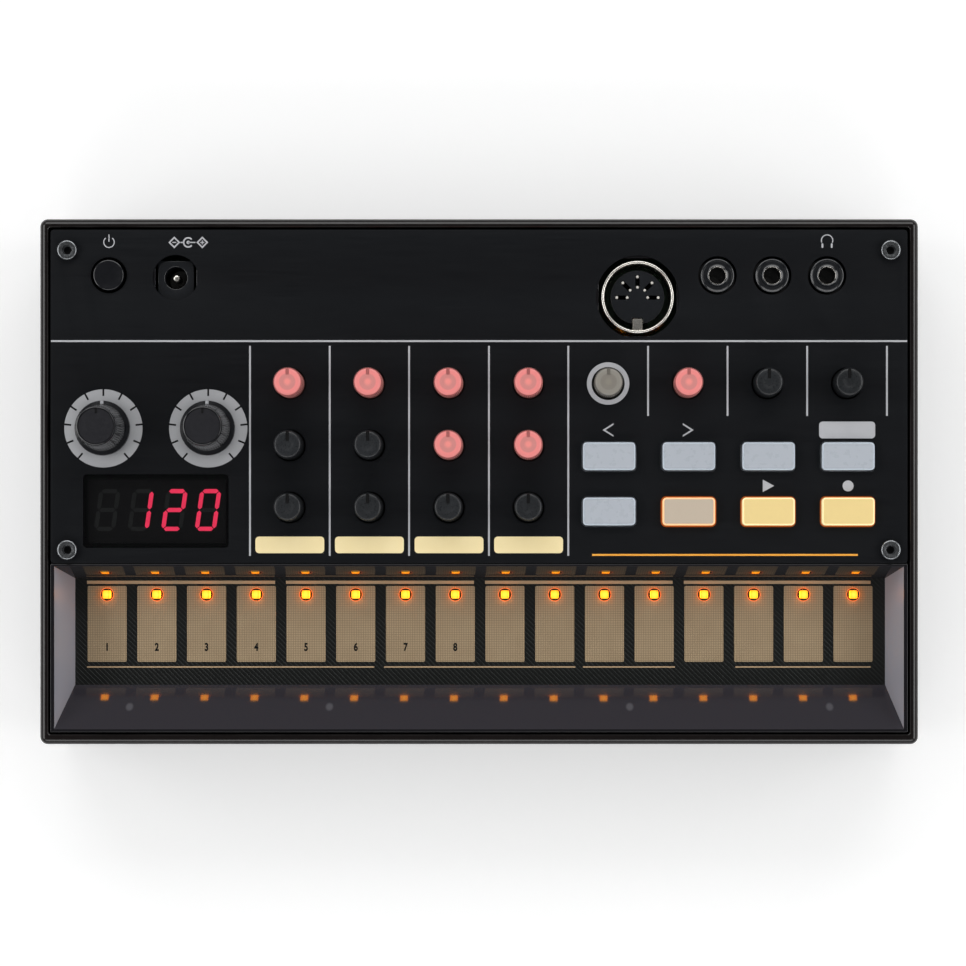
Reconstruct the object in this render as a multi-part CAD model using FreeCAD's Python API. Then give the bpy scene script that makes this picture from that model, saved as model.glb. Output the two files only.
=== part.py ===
import FreeCAD
import Part
import math
import os

# Desktop drum machine: a flat case with a knob panel at the back and a sunken touch strip in front.
# X runs left to right, Y front to back, Z up. The origin is under the middle of the case, on the table.
# All sizes are millimetres.

# Sides of the posts, bores and rings that repeat or lie out of sight
PEG_SIDES = 8
RING_SIDES = 12
ROUND_SIDES = 20

# Case
FOOT_STAND = 1.5
WALL = 1.9
FRONT_WALL = 2.2
FLOOR = 2.0
LOWER_CASE_HEIGHT = 15.5
CASE_CORNER_RADIUS = 1.7
CASE_TOP_ROUND = 1.5
CASE_BOTTOM_BEVEL = 1.0
LIP_THICKNESS = 1.1
LIP_HEIGHT = 2.0
LIP_CLEARANCE = 0.1
LEDGE_WIDTH = 0.8
LEDGE_THICKNESS = 1.5

# Printed front panel and the smoked cover that carries it
PANEL_THICKNESS = 1.0
PANEL_CORNER_RADIUS = 0.8
PANEL_GAP = 0.3
COVER_GAP = 0.55
COVER_SHELF = 2.0
SHELF_ROOM = 0.6

# Sunken tray of the touch strip
FRONT_LAND = 0.6
SIDE_LAND = 0.8
BACK_LAND = 0.4
TRAY_OPENING_DEPTH = 35.75
TRAY_DEPTH = 11.0
TRAY_WALL = 1.1
SIDE_RUN = 3.0
FRONT_RUN = 9.4
BACK_RUN = 2.6
SLOPE_POST_RADIUS = 2.6
SLOPE_POST_FOOT = 10.0
SLOPE_POST_FROM_SIDE = 19.05
SLOPE_POST_INNER = 33.2

# Touch strip
BOARD_THICKNESS = 1.6
TOUCH_BOARD_MARGIN = 1.8
PAD_COUNT = 16
PAD_GAP = 2.38
PAD_FROM_TRAY_SIDE = 2.75
PAD_DEPTH = 16.9
PAD_THICKNESS = 0.2
PAD_FROM_TRAY_BACK = 1.75
PAD_LED_FROM_EDGE = 1.9
PAD_LED_HOLE_RADIUS = 1.5
PAD_LED_SIZE = 1.8
PAD_LED_HEIGHT = 0.4
RIB_THICKNESS = 1.5
RIB_OFFSET = 70.0

# Main board and the height of the panel over it
PANEL_OVER_BOARD = 13.2
BOARD_SIDE_ROOM = 4.4
BOARD_FRONT_ROOM = 1.4
BOARD_BACK_ROOM = 1.25

# Panel screws and the pillars they bite into
SCREW_RADIUS = 1.25
SCREW_CLEARANCE = 0.35
SCREW_HEAD_RADIUS = 2.2
SCREW_HEAD_HEIGHT = 1.3
SCREW_SOCKET_SIZE = 2.0
SCREW_SOCKET_DEPTH = 0.9
SCREW_BITE = 7.0
PANEL_SCREW_FROM_SIDE = 3.75
PANEL_SCREW_FROM_BACK = 4.55
PANEL_SCREW_FROM_FRONT = 2.9
PILLAR_RADIUS = 3.0
PILLAR_ROOM = 0.5
CASE_SCREW_HEAD_RADIUS = 2.4
CASE_SCREW_HEAD_HEIGHT = 1.5
CASE_SCREW_SEAT = 4.0
CASE_PILLAR_RADIUS = 3.7
CASE_SCREW_BITE = 7.0

# Small knobs, each the clear or black end of a potentiometer shaft
KNOB_RADIUS = 3.15
KNOB_PROUD = 6.8
KNOB_HOLE_CLEARANCE = 0.35
POINTER_WIDTH = 0.6
POINTER_LENGTH = 2.0
POINTER_DEPTH = 0.4
STEM_RADIUS = 1.25
STEM_FLATS = 2.2
RUNNING_CLEARANCE = 0.05
END_CLEARANCE = 0.4
STEM_IN_BODY = 5.2
POT_WIDTH = 9.6
POT_DEPTH = 10.6
POT_HEIGHT = 7.0
POT_BUSH_RADIUS = 2.7
BUSH_SIDES = 6
POT_BUSH_HEIGHT = 2.6

# Large knobs
LARGE_SKIRT_RADIUS = 6.0
LARGE_SKIRT_HEIGHT = 1.8
LARGE_FLANK_RADIUS = 5.35
LARGE_TOP_RADIUS = 4.3
LARGE_KNOB_PROUD = 12.0
LARGE_KNOB_LIFT = 0.6
LARGE_FLUTE_COUNT = 18
LARGE_FLUTE_DEPTH_SHARE = 0.052
LARGE_SHAFT_RADIUS = 3.0
LARGE_BUSH_RADIUS = 3.5
LARGE_FLAT_OFFSET = 1.5
LARGE_CAP_THICKNESS = 2.5
LARGE_POT_WIDTH = 11.0
LARGE_POT_DEPTH = 11.5

# Push buttons
BUTTON_WIDTH = 11.6
BUTTON_DEPTH = 6.1
BUTTON_CORNER_RADIUS = 0.85
BUTTON_PROUD = 1.5
BUTTON_CLEARANCE = 0.35
BUTTON_FLANGE = 0.9
BUTTON_FLANGE_THICKNESS = 1.0
BUTTON_SEAT_GAP = 0.3
BUTTON_TRAVEL = 0.8
PLUNGER_WIDTH = 5.0
PLUNGER_DEPTH = 3.0
PLUNGER_LENGTH = 2.6
MAT_THICKNESS = 0.8
CHIP_WIDTH = 1.6
CHIP_DEPTH = 0.8
CHIP_HEIGHT = 0.6
MAT_MARGIN = 0.4

# Display
WINDOW_WIDTH = 31.7
WINDOW_DEPTH = 15.9
WINDOW_CORNER_RADIUS = 0.7
WINDOW_THICKNESS = 1.9
WINDOW_FLANGE = 0.6
WINDOW_CLEARANCE = 0.1
DISPLAY_WIDTH = 30.2
DISPLAY_DEPTH = 14.0
DISPLAY_HEIGHT = 7.2
DISPLAY_PIN = 0.5
DISPLAY_PIN_PITCH = 2.54
DISPLAY_PIN_ROW = 10.16
DISPLAY_PINS_IN_ROW = 6

# Power button, sockets and jacks
POWER_RADIUS = 3.35
POWER_HOLE_CLEARANCE = 0.6
POWER_PROUD = 1.0
POWER_HEAD = 5.0
POWER_STEM = 3.0
POWER_TRAVEL = 1.2
SWITCH_SIZE = 8.5
SWITCH_HEIGHT = 7.0
DC_HOLE_RADIUS = 5.0
DC_WIDTH = 7.9
DC_BACK = 3.75
DC_FRONT = 7.0
DC_BORE_RADIUS = 2.45
DC_BORE_DEPTH = 9.5
DC_PIN_RADIUS = 0.85
DC_PIN_RECESS = 1.0
DIN_HOLE_CLEARANCE = 1.1
DIN_RING_RADIUS = 8.0
DIN_RING_WALL = 0.7
DIN_CORE_RADIUS = 5.9
DIN_CORE_RECESS = 1.5
DIN_KEY_WIDTH = 2.1
DIN_KEY_LENGTH = 0.9
DIN_BASE = 1.5
DIN_CONTACT_CIRCLE = 3.75
DIN_CONTACT_COUNT = 5
DIN_CONTACT_SLOT = 1.7
DIN_CONTACT_LEAF = 0.4
DIN_CONTACT_DEPTH = 8.0
JACK_HOLE_CLEARANCE = 0.35
JACK_COLLAR_RADIUS = 3.9
JACK_PROUD = 0.2
JACK_BORE_RADIUS = 1.8
JACK_BORE_DEPTH = 12.0
JACK_BODY = 9.0
JACK_COLLAR_HEIGHT = 4.5

# Batteries, their bay and its sliding door
CELL_DIAMETER = 14.2
CELL_LENGTH = 50.5
CELL_NUB_LENGTH = 1.0
CELL_NUB_RADIUS = 2.3
CELLS_IN_ROW = 3
CELL_ROWS = 2
CELL_SIDE_ROOM = 0.55
CELL_FLOOR_ROOM = 0.2
CELL_ROOF_ROOM = 0.3
CONTACT_ROOM = 2.3
CONTACT_THICKNESS = 0.4
CONTACT_WIDTH = 9.0
CONTACT_LEAF = 4.0
BAY_WALL = 1.5
BAY_ROOF = 1.0
BAY_FROM_BACK = 8.2
DOOR_CLEARANCE = 0.1
TONGUE_WIDTH = 1.3
TONGUE_HEIGHT = 0.8
TONGUE_LIFT = 0.7
GRIP_COUNT = 5
GRIP_LENGTH = 26.0
GRIP_WIDTH = 1.0
GRIP_PITCH = 2.2
GRIP_DEPTH = 0.5

# Speaker over its slotted grille
SPEAKER_X = 49.0
SPEAKER_FROM_FRONT = 25.5
SPEAKER_RADIUS = 17.0
SPEAKER_RIM = 1.6
SPEAKER_BACK_RADIUS = 9.0
SPEAKER_BACK_HEIGHT = 6.5
CONE_EDGE = 0.4
CONE_DEPTH = 4.5
MAGNET_HEIGHT = 4.0
GRILLE_RADIUS = 14.0
GRILLE_SLOT = 2.0
GRILLE_PITCH = 4.4
GRILLE_SLOTS = 7

# Feet
FOOT_RADIUS = 4.5
FOOT_RECESS = 0.5
FOOT_FROM_SIDE = 10.0
FOOT_ROOM = 1.0
FOOT_FROM_END = 9.7

# Places on the panel, from its left, right and back edges
POWER_FROM_LEFT = 12.8
DC_FROM_LEFT = 27.4
LARGE_KNOBS_FROM_LEFT = (11.6, 34.6)
WINDOW_FROM_LEFT = 23.1
FIRST_COLUMN_FROM_LEFT = 52.48
COLUMN_PITCH = 17.46
COLUMN_COUNT = 8
LAST_COLUMN_FROM_RIGHT = 13.3
JACKS_FROM_RIGHT = (41.7, 29.7, 17.65)
DIN_FROM_RIGHT = 59.2
JACK_FROM_BACK = 10.05
POWER_FROM_BACK = 10.0
DC_FROM_BACK = 10.5
DIN_FROM_BACK = 14.75
SMALL_ROW_FROM_BACK = 33.75
SMALL_ROW_PITCH = 13.6
SMALL_ROWS = 3
SMALL_ROW_FROM_FRONT = 12.2
DEEP_COLUMNS = 4
LARGE_KNOBS_FROM_BACK = 43.6
WINDOW_FROM_BACK = 61.72
BUTTON_ROWS_FROM_BACK = (49.95, 62.05)

# Battery bay, which is as long as a row of cells with a contact at each end
BAY_SIDE = CELL_LENGTH * CELLS_IN_ROW / 2 + CONTACT_ROOM
CELL_PITCH = CELL_DIAMETER + CELL_SIDE_ROOM

# The panel is as wide as its columns of controls ask, or as the bay between the feet asks if that is more
CONTROLS_WIDTH = FIRST_COLUMN_FROM_LEFT + COLUMN_PITCH * (COLUMN_COUNT - 1) + LAST_COLUMN_FROM_RIGHT
SIDE_BEYOND_BAY = TONGUE_WIDTH + FOOT_ROOM + FOOT_RADIUS + FOOT_FROM_SIDE
PANEL_WIDTH = max(CONTROLS_WIDTH, 2 * (BAY_SIDE + SIDE_BEYOND_BAY - COVER_GAP - WALL))
PANEL_DEPTH = SMALL_ROW_FROM_BACK + SMALL_ROW_PITCH * (SMALL_ROWS - 1) + SMALL_ROW_FROM_FRONT

# Heights that follow from the stack: feet, floor, cells, bay roof, boards, panel
CASE_BOTTOM = FOOT_STAND
FLOOR_TOP = CASE_BOTTOM + FLOOR
CELL_AXIS = FLOOR_TOP + CELL_FLOOR_ROOM + CELL_DIAMETER / 2
ROOF_BOTTOM = CELL_AXIS + CELL_DIAMETER / 2 + CELL_ROOF_ROOM
BOARD_BOTTOM = ROOF_BOTTOM + BAY_ROOF
BOARD_TOP = BOARD_BOTTOM + BOARD_THICKNESS
PANEL_TOP = BOARD_TOP + PANEL_OVER_BOARD
PANEL_BOTTOM = PANEL_TOP - PANEL_THICKNESS
SHELF_BOTTOM = PANEL_BOTTOM - COVER_SHELF
TRAY_FLOOR = PANEL_TOP - TRAY_DEPTH
TOUCH_BOARD_BOTTOM = TRAY_FLOOR - BOARD_THICKNESS
SPLIT = CASE_BOTTOM + LOWER_CASE_HEIGHT

# Plan lines that follow from the front-to-back and side-to-side stacks
TRAY_TO_PANEL = BACK_LAND + PANEL_GAP
COVER_DEPTH = FRONT_LAND + TRAY_OPENING_DEPTH + TRAY_TO_PANEL + PANEL_DEPTH
CASE_DEPTH = FRONT_WALL + COVER_GAP + COVER_DEPTH + COVER_GAP + WALL
CASE_BACK = CASE_DEPTH / 2
CASE_FRONT = -CASE_BACK
CASE_SIDE = PANEL_WIDTH / 2 + COVER_GAP + WALL
INNER_SIDE = CASE_SIDE - WALL
INNER_BACK = CASE_BACK - WALL
INNER_FRONT = CASE_FRONT + FRONT_WALL
COVER_SIDE = INNER_SIDE - COVER_GAP
COVER_BACK = INNER_BACK - COVER_GAP
COVER_FRONT = INNER_FRONT + COVER_GAP
TRAY_SIDE = COVER_SIDE - SIDE_LAND
TRAY_FRONT = COVER_FRONT + FRONT_LAND
TRAY_BACK = TRAY_FRONT + TRAY_OPENING_DEPTH
PANEL_FRONT = TRAY_BACK + TRAY_TO_PANEL
PANEL_BACK = PANEL_FRONT + PANEL_DEPTH
PANEL_SIDE = PANEL_WIDTH / 2


def evenly_spaced(first, pitch, count):
    return [first + pitch * index for index in range(count)]


COLUMN_X = evenly_spaced(FIRST_COLUMN_FROM_LEFT - PANEL_SIDE, COLUMN_PITCH, COLUMN_COUNT)
SMALL_X = COLUMN_X[:DEEP_COLUMNS]
BUTTON_X = COLUMN_X[DEEP_COLUMNS:]
BUTTON_Y = [PANEL_BACK - distance for distance in BUTTON_ROWS_FROM_BACK]
SMALL_Y = evenly_spaced(PANEL_BACK - SMALL_ROW_FROM_BACK, -SMALL_ROW_PITCH, SMALL_ROWS)
LARGE_X = [distance - PANEL_SIDE for distance in LARGE_KNOBS_FROM_LEFT]
LARGE_Y = PANEL_BACK - LARGE_KNOBS_FROM_BACK
POWER_AT = (POWER_FROM_LEFT - PANEL_SIDE, PANEL_BACK - POWER_FROM_BACK)
DC_AT = (DC_FROM_LEFT - PANEL_SIDE, PANEL_BACK - DC_FROM_BACK)
DIN_AT = (PANEL_SIDE - DIN_FROM_RIGHT, PANEL_BACK - DIN_FROM_BACK)
JACK_AT = [(PANEL_SIDE - distance, PANEL_BACK - JACK_FROM_BACK) for distance in JACKS_FROM_RIGHT]
WINDOW_AT = (WINDOW_FROM_LEFT - PANEL_SIDE, PANEL_BACK - WINDOW_FROM_BACK)
PAD_SPAN = 2 * (TRAY_SIDE - SIDE_RUN - PAD_FROM_TRAY_SIDE)
PAD_WIDTH = (PAD_SPAN - PAD_GAP * (PAD_COUNT - 1)) / PAD_COUNT
PAD_PITCH = PAD_WIDTH + PAD_GAP
PAD_BACK = TRAY_BACK - BACK_RUN - PAD_FROM_TRAY_BACK
PAD_X = evenly_spaced(-PAD_PITCH * (PAD_COUNT - 1) / 2, PAD_PITCH, PAD_COUNT)
PAD_LED_Y = PAD_BACK - PAD_LED_FROM_EDGE
SLOPE_POST_Y = TRAY_FRONT + FRONT_RUN / 2
SLOPE_POST_AT = [(sign * offset, SLOPE_POST_Y)
                 for offset in (CASE_SIDE - SLOPE_POST_FROM_SIDE, SLOPE_POST_INNER) for sign in (-1, 1)]
PANEL_SCREW_X = PANEL_SIDE - PANEL_SCREW_FROM_SIDE
PANEL_SCREW_Y = (PANEL_FRONT + PANEL_SCREW_FROM_FRONT, PANEL_BACK - PANEL_SCREW_FROM_BACK)
PANEL_SCREW_AT = [(sign * PANEL_SCREW_X, y) for y in PANEL_SCREW_Y for sign in (-1, 1)]
CENTRE_KNOBS = [(x, y) for y in SMALL_Y for x in SMALL_X]
TOP_RIGHT_KNOBS = [(x, SMALL_Y[0]) for x in BUTTON_X]
SMALL_KNOB_AT = CENTRE_KNOBS + TOP_RIGHT_KNOBS
BUTTON_AT = [(x, y) for y in BUTTON_Y for x in BUTTON_X]
LARGE_KNOB_AT = [(x, LARGE_Y) for x in LARGE_X]

# Places of the bay, the speaker and the feet, inwards from the edges of the case
BAY_BACK = CASE_BACK - BAY_FROM_BACK
BAY_FRONT = BAY_BACK - CELL_PITCH * CELL_ROWS
SPEAKER_AT = (SPEAKER_X, CASE_FRONT + SPEAKER_FROM_FRONT)
FOOT_AT = [(sign * (CASE_SIDE - FOOT_FROM_SIDE), end * (CASE_BACK - FOOT_FROM_END))
           for end in (-1, 1) for sign in (-1, 1)]

# How far each moving piece reaches below the panel
BUTTON_FLANGE_TOP = PANEL_BOTTOM - BUTTON_SEAT_GAP
BUTTON_FLANGE_BOTTOM = BUTTON_FLANGE_TOP - BUTTON_FLANGE_THICKNESS
PLUNGER_BOTTOM = BUTTON_FLANGE_BOTTOM - PLUNGER_LENGTH
DOME_TOP = PLUNGER_BOTTOM - BUTTON_TRAVEL - BUTTON_SEAT_GAP
POT_TOP = BOARD_TOP + POT_HEIGHT
SMALL_BUSH_TOP = POT_TOP + POT_BUSH_HEIGHT
KNOB_BOTTOM = SMALL_BUSH_TOP + END_CLEARANCE
STEM_BOTTOM = POT_TOP - STEM_IN_BODY
LARGE_BUSH_TOP = PANEL_TOP - END_CLEARANCE / 2
LARGE_KNOB_BOTTOM = PANEL_TOP + LARGE_KNOB_LIFT
LARGE_KNOB_TOP = PANEL_TOP + LARGE_KNOB_PROUD


def point(x, y, z):
    return FreeCAD.Vector(x, y, z)


def block(x_low, x_high, y_low, y_high, z_low, z_high):
    return Part.makeBox(x_high - x_low, y_high - y_low, z_high - z_low, point(x_low, y_low, z_low))


def centred_block(place, width, depth, z_low, z_high):
    x, y = place
    return block(x - width / 2, x + width / 2, y - depth / 2, y + depth / 2, z_low, z_high)


def upright(place, radius, z_low, z_high):
    return Part.makeCylinder(radius, z_high - z_low, point(place[0], place[1], z_low))


def prism(corners, z_low, z_high):
    outline = [point(x, y, z_low) for x, y in corners]
    face = Part.Face(Part.makePolygon(outline + outline[:1]))
    return face.extrude(point(0, 0, z_high - z_low))


def ring_of_corners(place, radius, sides):
    step = 2 * math.pi / sides
    return [(place[0] + radius * math.sin(step * (index + 0.5)),
             place[1] + radius * math.cos(step * (index + 0.5))) for index in range(sides)]


def peg(place, radius, z_low, z_high, sides=PEG_SIDES):
    # A many-sided post whose corners touch the radius: repeated posts and shanks stay light this way.
    return prism(ring_of_corners(place, radius, sides), z_low, z_high)


def well(place, radius, z_low, z_high, sides=PEG_SIDES):
    # A many-sided hole whose flats touch the radius, so a round piece of that radius clears it.
    return peg(place, radius / math.cos(math.pi / sides), z_low, z_high, sides)


def rounded_corners(place, width, depth, radius):
    # Each rounded corner is three points of a quarter circle.
    x, y = place
    corners = []
    for turn in range(4):
        centre_x = x + (width / 2 - radius) * (1 if turn in (0, 3) else -1)
        centre_y = y + (depth / 2 - radius) * (1 if turn in (0, 1) else -1)
        for step in range(3):
            angle = math.pi / 2 * (turn + step / 2)
            corners.append((centre_x + radius * math.cos(angle), centre_y + radius * math.sin(angle)))
    return corners


def key_block(place, width, depth, z_low, z_high, radius):
    return prism(rounded_corners(place, width, depth, radius), z_low, z_high)


def stacked(outlines):
    # The solid through closed outlines with as many corners each, from the lowest up, all faces flat.
    faces = [Part.Face(Part.makePolygon(outline + outline[:1])) for outline in (outlines[0], outlines[-1])]
    count = len(outlines[0])
    for low, high in zip(outlines, outlines[1:]):
        for index in range(count):
            after = (index + 1) % count
            side = [low[index], low[after], high[after], high[index]]
            faces.append(Part.Face(Part.makePolygon(side + side[:1])))
    solid = Part.Solid(Part.Shell(faces))
    if solid.Volume < 0:
        solid.reverse()
    return solid


def rectangle_corners(rectangle, z):
    x_low, x_high, y_low, y_high = rectangle
    return [point(x_low, y_low, z), point(x_high, y_low, z), point(x_high, y_high, z), point(x_low, y_high, z)]


def frustum(low_rectangle, high_rectangle, z_low, z_high):
    return stacked([rectangle_corners(low_rectangle, z_low), rectangle_corners(high_rectangle, z_high)])


def cup(place, low_radius, high_radius, z_low, z_high):
    # A tapered many-sided post.
    outlines = []
    for radius, z in ((low_radius, z_low), (high_radius, z_high)):
        outlines.append([point(x, y, z) for x, y in ring_of_corners(place, radius, ROUND_SIDES)])
    return stacked(outlines)


def fluted_corners(place, radius, depth_share, count):
    # The depth is a share of the radius, so a tapered grip keeps flat faces.
    corners = []
    for index in range(count * 2):
        angle = math.pi * (index + 0.5) / count
        reach = radius * (1 - depth_share * (index % 2))
        corners.append((place[0] + reach * math.sin(angle), place[1] + reach * math.cos(angle)))
    return corners


def export(node, solids):
    shape = solids[0] if len(solids) == 1 else Part.makeCompound(solids)
    shape.exportStep(f"parts/{node}.step")


def case_outline(inset, z):
    ring = rounded_corners((0, 0), 2 * (CASE_SIDE - inset), 2 * (CASE_BACK - inset), CASE_CORNER_RADIUS - inset)
    return [point(x, y, z) for x, y in ring]


def inner_block(margin, z_low, z_high):
    return block(-INNER_SIDE + margin, INNER_SIDE - margin, INNER_FRONT + margin, INNER_BACK - margin,
                 z_low, z_high)


def tray_rectangle(z, margin):
    # Plan of the tray's inner walls at height z, moved outwards by the margin.
    share = (PANEL_TOP - z) / TRAY_DEPTH
    side = TRAY_SIDE - SIDE_RUN * share + margin
    return (-side, side, TRAY_FRONT + FRONT_RUN * share - margin, TRAY_BACK - BACK_RUN * share + margin)


def make_bottom_case():
    outer = stacked([case_outline(CASE_BOTTOM_BEVEL, CASE_BOTTOM),
                     case_outline(0, CASE_BOTTOM + CASE_BOTTOM_BEVEL), case_outline(0, SPLIT)])
    case = outer.cut(inner_block(0, FLOOR_TOP, SPLIT))
    lip = inner_block(0, SPLIT - LIP_HEIGHT, SPLIT).fuse(inner_block(LIP_CLEARANCE, SPLIT, SPLIT + LIP_HEIGHT))
    lip = lip.cut(inner_block(LIP_THICKNESS, SPLIT - LIP_HEIGHT, SPLIT + LIP_HEIGHT))
    bay = block(-BAY_SIDE - BAY_WALL, BAY_SIDE + BAY_WALL, BAY_FRONT - BAY_WALL, BAY_BACK + BAY_WALL,
                FLOOR_TOP, BOARD_BOTTOM)
    added = [lip, bay]
    for place in PANEL_SCREW_AT:
        added.append(peg(place, PILLAR_RADIUS, FLOOR_TOP, SHELF_BOTTOM))
    for place in SLOPE_POST_AT:
        added.append(peg(place, CASE_PILLAR_RADIUS, FLOOR_TOP, SLOPE_POST_FOOT))
    for x in (-RIB_OFFSET, 0, RIB_OFFSET):
        front, back = tray_rectangle(TRAY_FLOOR, 0)[2:]
        added.append(block(x - RIB_THICKNESS / 2, x + RIB_THICKNESS / 2, front, back,
                           FLOOR_TOP, TOUCH_BOARD_BOTTOM))
    case = case.fuse(added)
    door_top = FLOOR_TOP + DOOR_CLEARANCE
    tongue_low = CASE_BOTTOM + TONGUE_LIFT - DOOR_CLEARANCE
    tongue_high = CASE_BOTTOM + TONGUE_LIFT + TONGUE_HEIGHT + DOOR_CLEARANCE
    groove_side = BAY_SIDE + TONGUE_WIDTH
    removed = [block(-BAY_SIDE, BAY_SIDE, BAY_FRONT, BAY_BACK, CASE_BOTTOM, ROOF_BOTTOM),
               block(-BAY_SIDE, BAY_SIDE, BAY_FRONT, CASE_BACK, CASE_BOTTOM, door_top),
               block(-groove_side, groove_side, BAY_FRONT, CASE_BACK, tongue_low, tongue_high)]
    for place in PANEL_SCREW_AT:
        removed.append(well(place, SCREW_RADIUS, SHELF_BOTTOM - SCREW_BITE, SHELF_BOTTOM))
    for place in SLOPE_POST_AT:
        removed.append(well(place, CASE_SCREW_HEAD_RADIUS + RUNNING_CLEARANCE, CASE_BOTTOM,
                            CASE_SCREW_SEAT + CASE_SCREW_HEAD_HEIGHT))
        removed.append(well(place, SCREW_RADIUS + RUNNING_CLEARANCE, CASE_BOTTOM, SLOPE_POST_FOOT))
    for place in FOOT_AT:
        removed.append(peg(place, FOOT_RADIUS, CASE_BOTTOM, CASE_BOTTOM + FOOT_RECESS, ROUND_SIDES))
    removed += grille_slots()
    return case.cut(removed)


def grille_slots():
    slots = []
    for index in range(GRILLE_SLOTS):
        offset = GRILLE_PITCH * (index - (GRILLE_SLOTS - 1) / 2)
        length = 2 * math.sqrt(GRILLE_RADIUS ** 2 - offset ** 2)
        slots.append(centred_block((SPEAKER_AT[0] + offset, SPEAKER_AT[1]), GRILLE_SLOT, length,
                                   CASE_BOTTOM, FLOOR_TOP))
    return slots


def make_top_case():
    outlines = [case_outline(0, SPLIT)]
    for step in range(3):
        angle = math.pi / 4 * step
        outlines.append(case_outline(CASE_TOP_ROUND * (1 - math.cos(angle)),
                                     PANEL_TOP - CASE_TOP_ROUND * (1 - math.sin(angle))))
    case = stacked(outlines).cut(inner_block(0, SPLIT, PANEL_TOP))
    ledge = inner_block(0, SHELF_BOTTOM - LEDGE_THICKNESS, SHELF_BOTTOM)
    ledge = ledge.cut(inner_block(LEDGE_WIDTH, SHELF_BOTTOM - LEDGE_THICKNESS, SHELF_BOTTOM))
    return case.fuse(ledge)


def window_round(places, half_width, half_depth):
    # An opening in the shelf that clears a group of pieces with the same half sizes.
    xs = [place[0] for place in places]
    ys = [place[1] for place in places]
    reach_x = half_width + SHELF_ROOM
    reach_y = half_depth + SHELF_ROOM
    return block(min(xs) - reach_x, max(xs) + reach_x, min(ys) - reach_y, max(ys) + reach_y,
                 SHELF_BOTTOM, PANEL_BOTTOM)


def shelf_windows():
    keys = window_round(BUTTON_AT, BUTTON_WIDTH / 2 + BUTTON_FLANGE, BUTTON_DEPTH / 2 + BUTTON_FLANGE)
    return [keys,
            window_round(SMALL_KNOB_AT, POT_WIDTH / 2, POT_DEPTH / 2),
            window_round(LARGE_KNOB_AT, LARGE_POT_WIDTH / 2, LARGE_POT_DEPTH / 2),
            window_round([WINDOW_AT], WINDOW_WIDTH / 2 + WINDOW_FLANGE, WINDOW_DEPTH / 2 + WINDOW_FLANGE),
            window_round([POWER_AT], POWER_RADIUS, POWER_RADIUS),
            window_round([DC_AT], DC_WIDTH / 2, DC_FRONT),
            window_round([DIN_AT], DIN_RING_RADIUS, DIN_RING_RADIUS),
            window_round(JACK_AT, JACK_BODY / 2, JACK_BODY / 2)]


def make_smoke_cover():
    shelf = block(-COVER_SIDE, COVER_SIDE, COVER_FRONT, COVER_BACK, SHELF_BOTTOM, PANEL_BOTTOM)
    land = block(-COVER_SIDE, COVER_SIDE, COVER_FRONT, TRAY_BACK + BACK_LAND, PANEL_BOTTOM, PANEL_TOP)
    walls = frustum(tray_rectangle(TRAY_FLOOR, TRAY_WALL), tray_rectangle(SHELF_BOTTOM, TRAY_WALL),
                    TRAY_FLOOR, SHELF_BOTTOM)
    posts = [peg(place, SLOPE_POST_RADIUS, SLOPE_POST_FOOT, SHELF_BOTTOM) for place in SLOPE_POST_AT]
    cover = shelf.fuse([land, walls] + posts)
    removed = [frustum(tray_rectangle(TRAY_FLOOR, 0), tray_rectangle(PANEL_TOP, 0), TRAY_FLOOR, PANEL_TOP)]
    removed += shelf_windows()
    for place in PANEL_SCREW_AT:
        removed.append(well(place, SCREW_RADIUS + SCREW_CLEARANCE, SHELF_BOTTOM, PANEL_BOTTOM))
    for place in SLOPE_POST_AT:
        removed.append(well(place, SCREW_RADIUS, SLOPE_POST_FOOT, SLOPE_POST_FOOT + CASE_SCREW_BITE))
    return cover.cut(removed)


def make_front_panel():
    middle = (0, (PANEL_FRONT + PANEL_BACK) / 2)
    panel = key_block(middle, PANEL_WIDTH, PANEL_DEPTH, PANEL_BOTTOM, PANEL_TOP, PANEL_CORNER_RADIUS)
    holes = [(place, KNOB_RADIUS + KNOB_HOLE_CLEARANCE, RING_SIDES) for place in SMALL_KNOB_AT]
    holes += [(place, LARGE_BUSH_RADIUS + KNOB_HOLE_CLEARANCE, RING_SIDES) for place in LARGE_KNOB_AT]
    holes += [(place, JACK_COLLAR_RADIUS + JACK_HOLE_CLEARANCE, ROUND_SIDES) for place in JACK_AT]
    holes += [(place, SCREW_RADIUS + SCREW_CLEARANCE, PEG_SIDES) for place in PANEL_SCREW_AT]
    holes.append((POWER_AT, POWER_RADIUS + POWER_HOLE_CLEARANCE, ROUND_SIDES))
    holes.append((DC_AT, DC_HOLE_RADIUS, ROUND_SIDES))
    holes.append((DIN_AT, DIN_RING_RADIUS + DIN_HOLE_CLEARANCE, ROUND_SIDES))
    removed = [well(place, radius, PANEL_BOTTOM, PANEL_TOP, sides) for place, radius, sides in holes]
    for place in BUTTON_AT:
        removed.append(centred_block(place, BUTTON_WIDTH + 2 * BUTTON_CLEARANCE,
                                     BUTTON_DEPTH + 2 * BUTTON_CLEARANCE, PANEL_BOTTOM, PANEL_TOP))
    removed.append(centred_block(WINDOW_AT, WINDOW_WIDTH + 2 * WINDOW_CLEARANCE,
                                 WINDOW_DEPTH + 2 * WINDOW_CLEARANCE, PANEL_BOTTOM, PANEL_TOP))
    return panel.cut(removed)


def hex_socket(place, face, inwards):
    # The socket is sunk from the head's face, upwards or downwards.
    corner = SCREW_SOCKET_SIZE / math.sqrt(3)
    low, high = sorted((face, face + inwards * SCREW_SOCKET_DEPTH))
    return peg(place, corner, low, high, 6)


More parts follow.
